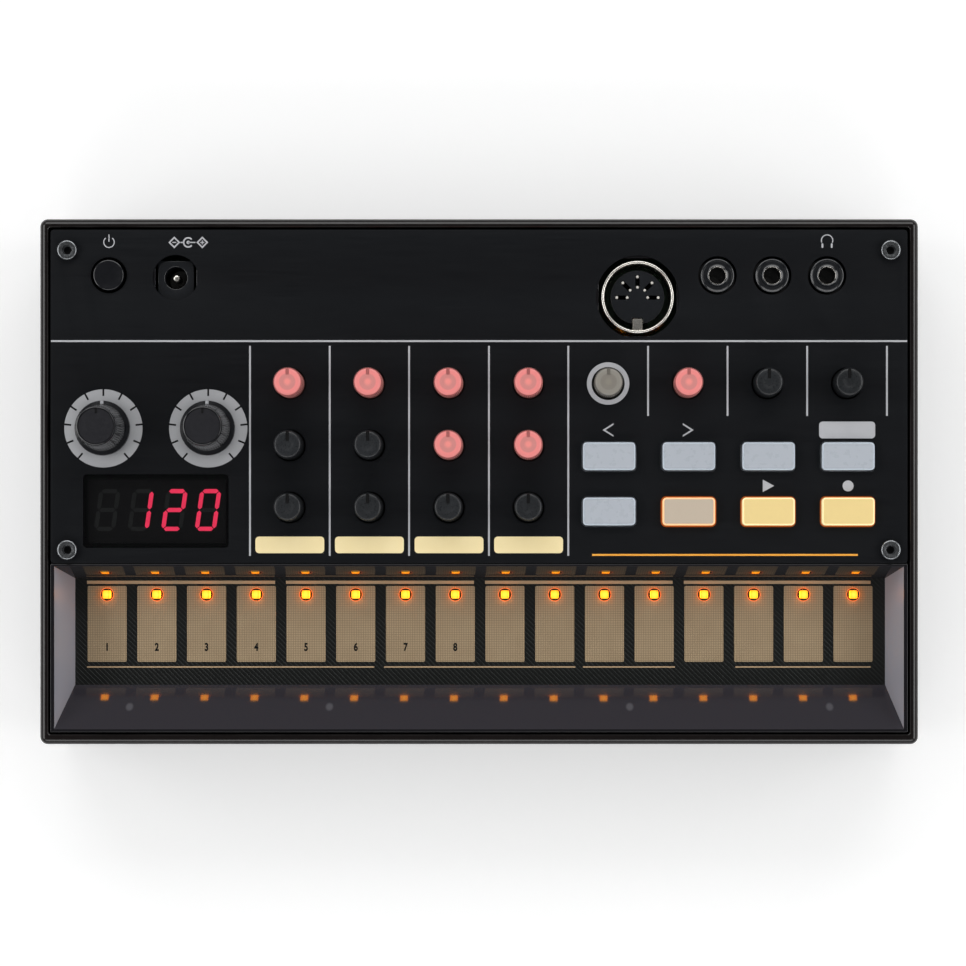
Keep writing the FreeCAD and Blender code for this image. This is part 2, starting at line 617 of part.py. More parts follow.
def make_panel_screw(place):
    top = PANEL_TOP + SCREW_HEAD_HEIGHT
    head = peg(place, SCREW_HEAD_RADIUS, PANEL_TOP, top, ROUND_SIDES)
    shank = peg(place, SCREW_RADIUS, SHELF_BOTTOM - SCREW_BITE, PANEL_TOP)
    return head.fuse(shank).cut(hex_socket(place, top, -1))


def make_case_screw(place):
    seat = CASE_SCREW_SEAT + CASE_SCREW_HEAD_HEIGHT
    head = peg(place, CASE_SCREW_HEAD_RADIUS, CASE_SCREW_SEAT, seat)
    shank = peg(place, SCREW_RADIUS, seat, SLOPE_POST_FOOT + CASE_SCREW_BITE - END_CLEARANCE)
    return head.fuse(shank).cut(hex_socket(place, CASE_SCREW_SEAT, 1))


def make_touch_board():
    x_low, x_high, y_low, y_high = tray_rectangle(TRAY_FLOOR, TOUCH_BOARD_MARGIN)
    return block(x_low, x_high, y_low, y_high, TOUCH_BOARD_BOTTOM, TRAY_FLOOR)


def make_touch_pad(x):
    pad = block(x - PAD_WIDTH / 2, x + PAD_WIDTH / 2, PAD_BACK - PAD_DEPTH, PAD_BACK,
                TRAY_FLOOR, TRAY_FLOOR + PAD_THICKNESS)
    return pad.cut(well((x, PAD_LED_Y), PAD_LED_HOLE_RADIUS, TRAY_FLOOR, TRAY_FLOOR + PAD_THICKNESS))


def make_pad_led(x):
    return centred_block((x, PAD_LED_Y), PAD_LED_SIZE, PAD_LED_SIZE, TRAY_FLOOR, TRAY_FLOOR + PAD_LED_HEIGHT)


def make_main_board():
    board = block(-INNER_SIDE + BOARD_SIDE_ROOM, INNER_SIDE - BOARD_SIDE_ROOM,
                  PANEL_FRONT + BOARD_FRONT_ROOM, PANEL_BACK - BOARD_BACK_ROOM, BOARD_BOTTOM, BOARD_TOP)
    notches = [well(place, PILLAR_RADIUS + PILLAR_ROOM, BOARD_BOTTOM, BOARD_TOP)
               for place in PANEL_SCREW_AT]
    return board.cut(notches)


def make_small_pot(place):
    body = centred_block(place, POT_WIDTH, POT_DEPTH, BOARD_TOP, POT_TOP)
    bush = peg(place, POT_BUSH_RADIUS, POT_TOP, SMALL_BUSH_TOP, BUSH_SIDES)
    bore = well(place, STEM_RADIUS + RUNNING_CLEARANCE, STEM_BOTTOM - END_CLEARANCE, SMALL_BUSH_TOP)
    return body.fuse(bush).cut(bore)


def make_small_knob(place):
    top = PANEL_TOP + KNOB_PROUD
    grip = peg(place, KNOB_RADIUS, KNOB_BOTTOM, top, ROUND_SIDES)
    stem = upright(place, STEM_RADIUS, STEM_BOTTOM, KNOB_BOTTOM)
    stem = stem.common(centred_block(place, STEM_FLATS, STEM_FLATS, STEM_BOTTOM, KNOB_BOTTOM))
    x, y = place
    slot = block(x - POINTER_WIDTH / 2, x + POINTER_WIDTH / 2, y + KNOB_RADIUS - POINTER_LENGTH,
                 y + KNOB_RADIUS, top - POINTER_DEPTH, top)
    return grip.fuse(stem).cut(slot)


def make_large_pot(place):
    body = centred_block(place, LARGE_POT_WIDTH, LARGE_POT_DEPTH, BOARD_TOP, POT_TOP)
    bush = peg(place, LARGE_BUSH_RADIUS, POT_TOP, LARGE_BUSH_TOP, ROUND_SIDES)
    bore = well(place, LARGE_SHAFT_RADIUS + RUNNING_CLEARANCE, STEM_BOTTOM - END_CLEARANCE,
                LARGE_BUSH_TOP, ROUND_SIDES)
    return body.fuse(bush).cut(bore)


def shaft_flat(place, z_low, z_high):
    # The half of the shaft's box that a flat takes away.
    x, y = place
    reach = 2 * LARGE_SHAFT_RADIUS
    return block(x - reach, x + reach, y - reach, y - LARGE_FLAT_OFFSET, z_low, z_high)


def make_large_shaft(place):
    top = LARGE_KNOB_TOP - LARGE_CAP_THICKNESS
    shaft = peg(place, LARGE_SHAFT_RADIUS, STEM_BOTTOM, top, ROUND_SIDES)
    return shaft.cut(shaft_flat(place, LARGE_KNOB_BOTTOM, top))


def make_large_knob(place):
    skirt_top = LARGE_KNOB_BOTTOM + LARGE_SKIRT_HEIGHT
    skirt = upright(place, LARGE_SKIRT_RADIUS, LARGE_KNOB_BOTTOM, skirt_top)
    outlines = []
    for radius, z in ((LARGE_FLANK_RADIUS, skirt_top), (LARGE_TOP_RADIUS, LARGE_KNOB_TOP)):
        ring = fluted_corners(place, radius, LARGE_FLUTE_DEPTH_SHARE, LARGE_FLUTE_COUNT)
        outlines.append([point(x, y, z) for x, y in ring])
    knob = skirt.fuse(stacked(outlines))
    bore_top = LARGE_KNOB_TOP - LARGE_CAP_THICKNESS
    bore = peg(place, LARGE_SHAFT_RADIUS, LARGE_KNOB_BOTTOM, bore_top, ROUND_SIDES)
    bore = bore.cut(shaft_flat(place, LARGE_KNOB_BOTTOM, bore_top))
    x, y = place
    pointer = block(x - POINTER_WIDTH / 2, x + POINTER_WIDTH / 2, y + LARGE_TOP_RADIUS - POINTER_LENGTH,
                    y + LARGE_TOP_RADIUS, LARGE_KNOB_TOP - POINTER_DEPTH, LARGE_KNOB_TOP)
    notch = block(x - POINTER_WIDTH / 2, x + POINTER_WIDTH / 2, y + LARGE_FLANK_RADIUS,
                  y + LARGE_SKIRT_RADIUS, LARGE_KNOB_BOTTOM, skirt_top)
    return knob.cut([bore, pointer, notch])


def make_button(place):
    cap = key_block(place, BUTTON_WIDTH, BUTTON_DEPTH, BUTTON_FLANGE_BOTTOM, PANEL_TOP + BUTTON_PROUD,
                    BUTTON_CORNER_RADIUS)
    flange = centred_block(place, BUTTON_WIDTH + 2 * BUTTON_FLANGE, BUTTON_DEPTH + 2 * BUTTON_FLANGE,
                           BUTTON_FLANGE_BOTTOM, BUTTON_FLANGE_TOP)
    plunger = centred_block(place, PLUNGER_WIDTH, PLUNGER_DEPTH, PLUNGER_BOTTOM, BUTTON_FLANGE_BOTTOM)
    return cap.fuse([flange, plunger])


def make_keypad_mat():
    reach_x = BUTTON_WIDTH / 2 + MAT_MARGIN
    reach_y = BUTTON_DEPTH / 2 + MAT_MARGIN
    mat = block(BUTTON_X[0] - reach_x, BUTTON_X[-1] + reach_x, BUTTON_Y[-1] - reach_y, BUTTON_Y[0] + reach_y,
                BOARD_TOP, BOARD_TOP + MAT_THICKNESS)
    domes = []
    for x, y in BUTTON_AT:
        foot = (x - PLUNGER_WIDTH, x + PLUNGER_WIDTH, y - PLUNGER_DEPTH, y + PLUNGER_DEPTH)
        crown = (x - PLUNGER_WIDTH / 2, x + PLUNGER_WIDTH / 2, y - PLUNGER_DEPTH / 2, y + PLUNGER_DEPTH / 2)
        domes.append(frustum(foot, crown, BOARD_TOP + MAT_THICKNESS, DOME_TOP))
    return mat.fuse(domes)


def make_control_leds():
    # One chip behind each pot whose knob is clear: the back row and half of the row in front of it.
    clear = [(x, SMALL_Y[0]) for x in SMALL_X] + [(x, SMALL_Y[1]) for x in SMALL_X[2:]] + TOP_RIGHT_KNOBS[:2]
    behind = POT_DEPTH / 2 + CHIP_DEPTH
    return [centred_block((x, y + behind), CHIP_WIDTH, CHIP_DEPTH, BOARD_TOP, BOARD_TOP + CHIP_HEIGHT)
            for x, y in clear]


def make_display_window():
    lens_top = PANEL_TOP - WINDOW_CLEARANCE
    flange_low = lens_top - WINDOW_THICKNESS
    flange_high = PANEL_BOTTOM - WINDOW_CLEARANCE
    lens = key_block(WINDOW_AT, WINDOW_WIDTH, WINDOW_DEPTH, flange_low, lens_top, WINDOW_CORNER_RADIUS)
    flange = centred_block(WINDOW_AT, WINDOW_WIDTH + 2 * WINDOW_FLANGE, WINDOW_DEPTH + 2 * WINDOW_FLANGE,
                           flange_low, flange_high)
    return lens.fuse(flange)


def make_display_module():
    top = PANEL_TOP - WINDOW_THICKNESS - 3 * WINDOW_CLEARANCE
    body = centred_block(WINDOW_AT, DISPLAY_WIDTH, DISPLAY_DEPTH, top - DISPLAY_HEIGHT, top)
    pins = []
    for row in (-1, 1):
        for index in range(DISPLAY_PINS_IN_ROW):
            x = WINDOW_AT[0] + DISPLAY_PIN_PITCH * (index - (DISPLAY_PINS_IN_ROW - 1) / 2)
            y = WINDOW_AT[1] + row * DISPLAY_PIN_ROW / 2
            pins.append(centred_block((x, y), DISPLAY_PIN, DISPLAY_PIN, BOARD_TOP, top - DISPLAY_HEIGHT))
    return body.fuse(pins)


def make_power_button():
    top = PANEL_TOP + POWER_PROUD
    head = peg(POWER_AT, POWER_RADIUS, top - POWER_HEAD, top, 2 * ROUND_SIDES)
    stem = centred_block(POWER_AT, POWER_STEM, POWER_STEM, POT_TOP - STEM_IN_BODY + POWER_TRAVEL,
                         top - POWER_HEAD)
    return head.fuse(stem)


def make_power_switch():
    body = centred_block(POWER_AT, SWITCH_SIZE, SWITCH_SIZE, BOARD_TOP, BOARD_TOP + SWITCH_HEIGHT)
    room = POWER_STEM + 2 * DOOR_CLEARANCE
    return body.cut(centred_block(POWER_AT, room, room, POT_TOP - STEM_IN_BODY - END_CLEARANCE,
                                  BOARD_TOP + SWITCH_HEIGHT))


def make_dc_socket():
    x, y = DC_AT
    top = PANEL_BOTTOM - WINDOW_CLEARANCE
    body = block(x - DC_WIDTH / 2, x + DC_WIDTH / 2, y - DC_FRONT, y + DC_BACK, BOARD_TOP, top)
    return body.cut(well(DC_AT, DC_BORE_RADIUS, top - DC_BORE_DEPTH, top, ROUND_SIDES))


def make_dc_pin():
    top = PANEL_BOTTOM - WINDOW_CLEARANCE
    return peg(DC_AT, DC_PIN_RADIUS, top - DC_BORE_DEPTH, top - DC_PIN_RECESS)


def make_din_shell():
    inner = DIN_RING_RADIUS - DIN_RING_WALL
    tube = peg(DIN_AT, DIN_RING_RADIUS, BOARD_TOP, PANEL_TOP, 2 * ROUND_SIDES)
    tube = tube.cut(peg(DIN_AT, inner, BOARD_TOP + DIN_BASE, PANEL_TOP, 2 * ROUND_SIDES))
    x, y = DIN_AT
    key = block(x - DIN_KEY_WIDTH / 2, x + DIN_KEY_WIDTH / 2, y - inner - DIN_RING_WALL / 2,
                y - inner + DIN_KEY_LENGTH, BOARD_TOP + DIN_BASE, PANEL_TOP - DIN_CORE_RECESS)
    return tube.fuse(key)


def din_contact_places():
    places = []
    for index in range(DIN_CONTACT_COUNT):
        angle = math.pi * index / (DIN_CONTACT_COUNT - 1)
        places.append((DIN_AT[0] + DIN_CONTACT_CIRCLE * math.cos(angle),
                       DIN_AT[1] + DIN_CONTACT_CIRCLE * math.sin(angle)))
    return places


def make_din_core():
    top = PANEL_TOP - DIN_CORE_RECESS
    core = peg(DIN_AT, DIN_CORE_RADIUS, BOARD_TOP + DIN_BASE, top, 2 * ROUND_SIDES)
    slots = [centred_block(place, DIN_CONTACT_SLOT, DIN_CONTACT_SLOT, top - DIN_CONTACT_DEPTH, top)
             for place in din_contact_places()]
    return core.cut(slots)


def make_din_contacts():
    low = PANEL_TOP - DIN_CORE_RECESS - DIN_CONTACT_DEPTH
    high = PANEL_TOP - DIN_CORE_RECESS - END_CLEARANCE
    leaves = []
    for x, y in din_contact_places():
        for side in (-1, 1):
            place = (x + side * (DIN_CONTACT_SLOT - DIN_CONTACT_LEAF) / 2, y)
            leaves.append(centred_block(place, DIN_CONTACT_LEAF, DIN_CONTACT_SLOT / 2, low, high))
    return leaves


def make_jack(place):
    top = PANEL_TOP + JACK_PROUD
    collar = peg(place, JACK_COLLAR_RADIUS, top - JACK_COLLAR_HEIGHT, top, ROUND_SIDES)
    body = centred_block(place, JACK_BODY, JACK_BODY, BOARD_TOP, top - JACK_COLLAR_HEIGHT)
    return body.fuse(collar).cut(upright(place, JACK_BORE_RADIUS, top - JACK_BORE_DEPTH, top))


def cell_axes():
    return [BAY_FRONT + CELL_PITCH * (row + 0.5) for row in range(CELL_ROWS)]


def make_cells():
    cells = []
    for row, y in enumerate(cell_axes()):
        for index in range(CELLS_IN_ROW):
            x = CELL_LENGTH * (index - CELLS_IN_ROW / 2)
            body = peg((0, 0), CELL_DIAMETER / 2, 0, CELL_LENGTH - CELL_NUB_LENGTH, ROUND_SIDES)
            body.rotate(point(0, 0, 0), point(0, 1, 0), 90)
            body.translate(point(x, y, CELL_AXIS))
            nub = block(x + CELL_LENGTH - CELL_NUB_LENGTH, x + CELL_LENGTH, y - CELL_NUB_RADIUS,
                        y + CELL_NUB_RADIUS, CELL_AXIS - CELL_NUB_RADIUS, CELL_AXIS + CELL_NUB_RADIUS)
            cell = body.fuse(nub)
            if row % 2:
                cell.rotate(point(x + CELL_LENGTH / 2, y, CELL_AXIS), point(0, 0, 1), 180)
            cells.append(cell)
    return cells


def make_contacts():
    # Each end of a row has a plate with a raised spring leaf that presses on the cell.
    contacts = []
    for y in cell_axes():
        for side in (-1, 1):
            wall = side * BAY_SIDE
            inner = wall - side * CONTACT_THICKNESS
            cell_end = wall - side * CONTACT_ROOM
            plate = block(min(wall, inner), max(wall, inner), y - CONTACT_WIDTH / 2, y + CONTACT_WIDTH / 2,
                          CELL_AXIS - CONTACT_WIDTH / 2, CELL_AXIS + CONTACT_WIDTH / 2)
            leaf = block(min(inner, cell_end), max(inner, cell_end), y - CONTACT_LEAF / 2, y + CONTACT_LEAF / 2,
                         CELL_AXIS - CONTACT_LEAF / 2, CELL_AXIS + CONTACT_LEAF / 2)
            contacts.append(plate.fuse(leaf))
    return contacts


def make_battery_door():
    door = block(-BAY_SIDE + DOOR_CLEARANCE, BAY_SIDE - DOOR_CLEARANCE, BAY_FRONT + DOOR_CLEARANCE, CASE_BACK,
                 CASE_BOTTOM, FLOOR_TOP)
    back_edge = [edge for edge in door.Edges
                 if edge.BoundBox.ZMax < CASE_BOTTOM + 1e-6 and edge.BoundBox.YMin > CASE_BACK - 1e-6]
    door = door.makeChamfer(CASE_BOTTOM_BEVEL, back_edge)
    tongue_side = BAY_SIDE + TONGUE_WIDTH - DOOR_CLEARANCE
    tongues = block(-tongue_side, tongue_side, BAY_FRONT + DOOR_CLEARANCE, INNER_BACK,
                    CASE_BOTTOM + TONGUE_LIFT, CASE_BOTTOM + TONGUE_LIFT + TONGUE_HEIGHT)
    grips = []
    for index in range(GRIP_COUNT):
        y = BAY_BACK - GRIP_PITCH * index
        grips.append(block(-GRIP_LENGTH / 2, GRIP_LENGTH / 2, y - GRIP_WIDTH / 2, y + GRIP_WIDTH / 2,
                           CASE_BOTTOM, CASE_BOTTOM + GRIP_DEPTH))
    return door.fuse(tongues).cut(grips)


def make_speaker_frame():
    top = FLOOR_TOP + SPEAKER_BACK_HEIGHT
    outer = cup(SPEAKER_AT, SPEAKER_RADIUS, SPEAKER_BACK_RADIUS, FLOOR_TOP, top)
    inner = cup(SPEAKER_AT, SPEAKER_RADIUS - SPEAKER_RIM, SPEAKER_BACK_RADIUS - SPEAKER_RIM, FLOOR_TOP, top)
    return outer.cut(inner)


def make_speaker_cone():
    edge = SPEAKER_RADIUS - SPEAKER_RIM - CONE_EDGE
    crown = SPEAKER_BACK_RADIUS - SPEAKER_RIM - CONE_EDGE
    top = FLOOR_TOP + CONE_DEPTH
    outer = cup(SPEAKER_AT, edge, crown, FLOOR_TOP, top)
    return outer.cut(cup(SPEAKER_AT, edge - CONE_EDGE, crown - CONE_EDGE, FLOOR_TOP, top - CONE_EDGE))


def make_speaker_magnet():
    base = FLOOR_TOP + SPEAKER_BACK_HEIGHT
    return peg(SPEAKER_AT, SPEAKER_BACK_RADIUS, base, base + MAGNET_HEIGHT, ROUND_SIDES)


def make_foot(place):
    return peg(place, FOOT_RADIUS, 0, CASE_BOTTOM + FOOT_RECESS, ROUND_SIDES)


SMALL_KNOB_NAMES = ["kick_1", "snare_1", "tom_1", "hat_1", "kick_2", "snare_2", "tom_2", "hat_2",
                    "kick_3", "snare_3", "tom_3", "hat_3", "pitch", "tempo", "volume", "swing"]
BUTTON_NAMES = ["part_down", "part_up", "play", "record", "memory", "step", "loop", "shift"]
LARGE_KNOB_NAMES = ["echo_rate", "echo_depth"]


def main():
    os.makedirs("parts", exist_ok=True)
    export("bottom_case", [make_bottom_case()])
    export("top_case", [make_top_case()])
    export("smoke_cover", [make_smoke_cover()])
    export("front_panel", [make_front_panel()])
    export("panel_screws", [make_panel_screw(place) for place in PANEL_SCREW_AT])
    export("case_screws", [make_case_screw(place) for place in SLOPE_POST_AT])
    export("rubber_feet", [make_foot(place) for place in FOOT_AT])
    export("touch_board", [make_touch_board()])
    export("touch_pads", [make_touch_pad(x) for x in PAD_X])
    export("pad_leds", [make_pad_led(x) for x in PAD_X])
    export("main_board", [make_main_board()])
    export("control_leds", make_control_leds())
    export("small_pots", [make_small_pot(place) for place in SMALL_KNOB_AT])
    export("large_pots", [make_large_pot(place) for place in LARGE_KNOB_AT])
    export("keypad_mat", [make_keypad_mat()])
    export("display_window", [make_display_window()])
    export("display_module", [make_display_module()])
    export("power_switch", [make_power_switch()])
    export("power_button", [make_power_button()])
    export("dc_socket", [make_dc_socket()])
    export("dc_pin", [make_dc_pin()])
    export("din_shell", [make_din_shell()])
    export("din_core", [make_din_core()])
    export("din_contacts", make_din_contacts())
    export("sync_jacks", [make_jack(place) for place in JACK_AT[:2]])
    export("headphone_jack", [make_jack(JACK_AT[2])])
    export("battery_cells", make_cells())
    export("battery_contacts", make_contacts())
    export("battery_door", [make_battery_door()])
    export("speaker_frame", [make_speaker_frame()])
    export("speaker_cone", [make_speaker_cone()])
    export("speaker_magnet", [make_speaker_magnet()])
    for name, place in zip(LARGE_KNOB_NAMES, LARGE_KNOB_AT):
        export(f"{name}_knob", [make_large_knob(place)])
        export(f"{name}_shaft", [make_large_shaft(place)])
    for name, place in zip(SMALL_KNOB_NAMES, SMALL_KNOB_AT):
        export(f"{name}_knob", [make_small_knob(place)])
    for name, place in zip(BUTTON_NAMES, BUTTON_AT):
        export(f"{name}_button", [make_button(place)])


main()
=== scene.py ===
# %% [markdown]
# # A desktop drum machine, dressed for the photograph
# The solids come from the imported frame, in metres, each with its place in its mesh. This lesson gives
# each one the finish of the real piece and swaps the visible round pieces for finer ones. It starts by
# loading the frame, with a helper that reads the box of each part.

# %% Load the frame
import math

import bmesh
import bpy
from mathutils import Matrix, Vector


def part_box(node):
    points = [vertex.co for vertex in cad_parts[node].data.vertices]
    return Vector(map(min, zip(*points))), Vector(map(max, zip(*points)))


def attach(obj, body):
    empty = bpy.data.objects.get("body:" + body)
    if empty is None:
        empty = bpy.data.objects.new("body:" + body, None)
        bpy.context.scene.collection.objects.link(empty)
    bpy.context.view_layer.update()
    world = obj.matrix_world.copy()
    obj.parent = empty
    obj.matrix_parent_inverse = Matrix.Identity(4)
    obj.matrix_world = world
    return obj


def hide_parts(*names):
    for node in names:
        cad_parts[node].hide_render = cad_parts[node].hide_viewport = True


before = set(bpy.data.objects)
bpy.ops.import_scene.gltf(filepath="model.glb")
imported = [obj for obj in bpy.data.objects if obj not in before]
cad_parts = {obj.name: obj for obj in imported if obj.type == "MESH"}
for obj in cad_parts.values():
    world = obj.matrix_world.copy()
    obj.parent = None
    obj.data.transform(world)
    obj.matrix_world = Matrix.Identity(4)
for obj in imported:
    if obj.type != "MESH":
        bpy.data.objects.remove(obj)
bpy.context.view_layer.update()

MM = 0.001

# %% [markdown]
# ## One way to add a node, one way to write a colour
# Materials and Geometry Nodes trees are both node trees, so one small function serves both: it adds a
# node, sets its properties and fills its inputs, and an input given as (node, output) becomes a link.
# Colours are written as the screen shows them, and Blender computes with linear light, so one function
# turns the hex value into linear numbers.

# %% Node and colour helpers
def add(tree, kind, inputs=None, **settings):
    node = tree.nodes.new(kind)
    for name, value in settings.items():
        setattr(node, name, value)
    for key, value in (inputs or {}).items():
        if isinstance(value, tuple) and isinstance(value[0], bpy.types.Node):
            tree.links.new(value[0].outputs[value[1]], node.inputs[key])
        else:
            node.inputs[key].default_value = value
    return node


def colour(code, alpha=1.0):
    channels = [int(code[start:start + 2], 16) / 255 for start in (1, 3, 5)]
    return tuple(c / 12.92 if c <= 0.04045 else ((c + 0.055) / 1.055) ** 2.4 for c in channels) + (alpha,)


print("mid grey in linear light:", round(colour("#808080")[0], 3))

# %% [markdown]
# ## Camera
# The photograph looks straight down from about 0.7 m, with the lens axis to the right of and below the
# middle of the picture. A shifted lens gives exactly that without any tilt, so all edges stay parallel.

# %% Camera
LENS = 117.9
LENS_SHIFT = (-0.0694, 0.0952)
CAMERA_AT = (0.01558, -0.0205, 0.728)


def make_camera():
    data = bpy.data.cameras.new("copy_stand_camera")
    data.sensor_width = 36.0
    data.lens = LENS
    data.shift_x, data.shift_y = LENS_SHIFT
    camera = bpy.data.objects.new("copy_stand_camera", data)
    camera.location = CAMERA_AT
    bpy.context.scene.collection.objects.link(camera)
    bpy.context.scene.camera = camera
    return camera


print("camera height", make_camera().location.z)

# %% [markdown]
# ## Floor, softboxes and sky
# Glossy black pieces show what is around them. A product photographer keeps the place over the camera
# dark, so flat tops stay black, and puts soft lamps low and all round, so each rounded edge gets a light
# line. The floor is white card. It gets a little of its own light for camera rays only, so it reads as
# white while the shadow stays and no more light falls on the object.

# %% Stage and lights
FLOOR_SIDE = 1.6
FLOOR_LIFT = 0.28
SKY_SIDE = 0.45
SKY_TOP = 0.10
# Azimuth and elevation in degrees, width and height in metres, and power in watts
SOFTBOXES = [(90, 42, (1.2, 0.45), 4.4), (-90, 38, (1.2, 0.4), 3.2),
             (180, 38, (0.9, 0.4), 3.4), (0, 38, (0.9, 0.4), 3.4)]


def make_floor():
    mesh = bpy.data.meshes.new("floor_card")
    corners = [(x * FLOOR_SIDE, y * FLOOR_SIDE, 0) for x, y in ((-1, -1), (1, -1), (1, 1), (-1, 1))]
    mesh.from_pydata(corners, [], [(0, 1, 2, 3)])
    floor = bpy.data.objects.new("floor_card", mesh)
    bpy.context.scene.collection.objects.link(floor)
    material = bpy.data.materials.new("white_card")
    material.use_nodes = True
    tree = material.node_tree
    tree.nodes.clear()
    path = add(tree, "ShaderNodeLightPath")
    card = add(tree, "ShaderNodeBsdfDiffuse", {"Color": colour("#ececec")})
    seen = add(tree, "ShaderNodeMath", {0: (path, "Is Camera Ray"), 1: FLOOR_LIFT}, operation="MULTIPLY")
    lift = add(tree, "ShaderNodeEmission", {"Color": (1, 1, 1, 1), "Strength": (seen, 0)})
    both = add(tree, "ShaderNodeAddShader", {0: (card, 0), 1: (lift, 0)})
    add(tree, "ShaderNodeOutputMaterial", {"Surface": (both, 0)})
    mesh.materials.append(material)


def make_softbox(name, azimuth, elevation, size, power):
    data = bpy.data.lights.new(name, "AREA")
    data.shape = "RECTANGLE"
    data.size = size[0]
    data.size_y = size[1]
    data.energy = power
    lamp = bpy.data.objects.new(name, data)
    turn, tilt = math.radians(azimuth), math.radians(elevation)
    place = Vector((math.cos(turn) * math.cos(tilt), math.sin(turn) * math.cos(tilt), math.sin(tilt)))
    lamp.location = place
    lamp.rotation_euler = place.to_track_quat("Z", "Y").to_euler()
    bpy.context.scene.collection.objects.link(lamp)


def make_sky():
    world = bpy.data.worlds.new("studio_sky")
    bpy.context.scene.world = world
    world.use_nodes = True
    tree = world.node_tree
    tree.nodes.clear()
    direction = add(tree, "ShaderNodeTexCoord")
    height = add(tree, "ShaderNodeSeparateXYZ", {0: (direction, "Generated")})
    ramp = add(tree, "ShaderNodeMapRange", {"Value": (height, "Z"), "From Min": 0.2, "From Max": 0.95,
                                            "To Min": SKY_SIDE, "To Max": SKY_TOP})
    sky = add(tree, "ShaderNodeBackground", {"Color": (1, 1, 1, 1), "Strength": (ramp, 0)})
    add(tree, "ShaderNodeOutputWorld", {"Surface": (sky, 0)})


make_floor()
make_sky()
for number, (azimuth, elevation, size, power) in enumerate(SOFTBOXES):
    make_softbox(f"softbox_{number}", azimuth, elevation, size, power)
bpy.context.scene.view_settings.view_transform = "Standard"
print("lamps:", len(bpy.data.lights))

# %% [markdown]
# ## Ways to make a mesh
# Most pieces here are plates with holes, turned pieces and frames. A plate is filled between its
# outlines and drawn up, with its top edge broken by a small bevel as moulding or stamping leaves it. A
# turned piece spins a profile. A text is a curve until it is made a mesh and laid in its place.

# %% Mesh helpers
def round_loop(place, radius, steps=48):
    return [(place[0] + radius * math.cos(2 * math.pi * i / steps),
             place[1] + radius * math.sin(2 * math.pi * i / steps)) for i in range(steps)]


def corner_loop(place, width, depth, radius, steps=6):
    loop = []
    for turn in range(4):
        x = place[0] + (width / 2 - radius) * (1 if turn in (0, 3) else -1)
        y = place[1] + (depth / 2 - radius) * (1 if turn in (0, 1) else -1)
        for i in range(steps + 1):
            angle = math.pi / 2 * (turn + i / steps)
            loop.append((x + radius * math.cos(angle), y + radius * math.sin(angle)))
    return loop


def bar_loop(start, end, width):
    along = Vector((end[0] - start[0], end[1] - start[1])).normalized() * width / 2
    side = Vector((-along.y, along.x))
    return [(start[0] + side.x, start[1] + side.y), (start[0] - side.x, start[1] - side.y),
            (end[0] - side.x, end[1] - side.y), (end[0] + side.x, end[1] + side.y)]


def add_plate(bm, loops, low, high, bevel=0.0):
    # All sizes in mm. The first loop is the outline and the others are holes.
    edges = []
    for loop in loops:
        corners = [bm.verts.new((x * MM, y * MM, low * MM)) for x, y in loop]
        edges += [bm.edges.new((corners[i - 1], corners[i])) for i in range(len(corners))]
    filled = bmesh.ops.triangle_fill(bm, use_beauty=True, use_dissolve=True, edges=edges)
    faces = [item for item in filled["geom"] if isinstance(item, bmesh.types.BMFace)]
    drawn = bmesh.ops.extrude_face_region(bm, geom=faces)["geom"]
    lifted = [item for item in drawn if isinstance(item, bmesh.types.BMVert)]
    bmesh.ops.translate(bm, verts=lifted, vec=(0, 0, (high - low) * MM))
    if bevel:
        top = set(lifted)
        rim = [edge for edge in {edge for vert in lifted for edge in vert.link_edges}
               if set(edge.verts) <= top and edge.calc_face_angle(0) > 1.0]
        bmesh.ops.bevel(bm, geom=rim, offset=bevel * MM, segments=3, affect="EDGES", profile=0.6,
                        clamp_overlap=True)


def mesh_of(bm, name, smooth=35):
    bmesh.ops.remove_doubles(bm, verts=bm.verts, dist=1e-7)
    bmesh.ops.recalc_face_normals(bm, faces=bm.faces)
    mesh = bpy.data.meshes.new(name)
    bm.to_mesh(mesh)
    bm.free()
    mesh.shade_smooth()
    mesh.set_sharp_from_angle(angle=math.radians(smooth))
    return mesh


def plate(name, shapes, low, high, bevel=0.0):
    bm = bmesh.new()
    for loops in shapes:
        add_plate(bm, loops, low, high, bevel)
    return mesh_of(bm, name)


def add_turned(bm, place, profile, steps=64, closed=False):
    # The profile lists (radius, height) in mm, and a radius of 0 is a point on the axis.
    rings = []
    for radius, z in profile:
        if radius == 0:
            rings.append([bm.verts.new((place[0] * MM, place[1] * MM, z * MM))])
        else:
            loop = round_loop(place, radius, steps)
            rings.append([bm.verts.new((x * MM, y * MM, z * MM)) for x, y in loop])
    pairs = list(zip(rings, rings[1:])) + ([(rings[-1], rings[0])] if closed else [])
    for low, high in pairs:
        for i in range(steps):
            corners = [low[i % len(low)], low[(i + 1) % len(low)]]
            corners += [high[(i + 1) % len(high)], high[i % len(high)]]
            bm.faces.new(list(dict.fromkeys(corners)))


def turned(name, place, profile, steps=64, closed=False):
    bm = bmesh.new()
    add_turned(bm, place, profile, steps, closed)
    return mesh_of(bm, name)


def plain_mesh(data):
    # The mesh that a curve, a text or an object with a modifier stands for.
    holder = data if isinstance(data, bpy.types.Object) else bpy.data.objects.new("holder", data)
    if holder.name not in bpy.context.scene.collection.objects:
        bpy.context.scene.collection.objects.link(holder)
    graph = bpy.context.evaluated_depsgraph_get()
    graph.update()
    mesh = bpy.data.meshes.new_from_object(holder.evaluated_get(graph), depsgraph=graph)
    bpy.data.objects.remove(holder)
    return mesh


def piece(name, mesh, body, material, replaced=()):
    mesh.name = name
    mesh.materials.clear()
    mesh.materials.append(material)
    item = bpy.data.objects.new(name, mesh)
    bpy.context.scene.collection.objects.link(item)
    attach(item, body)
    if replaced:
        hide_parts(*replaced)
    return item


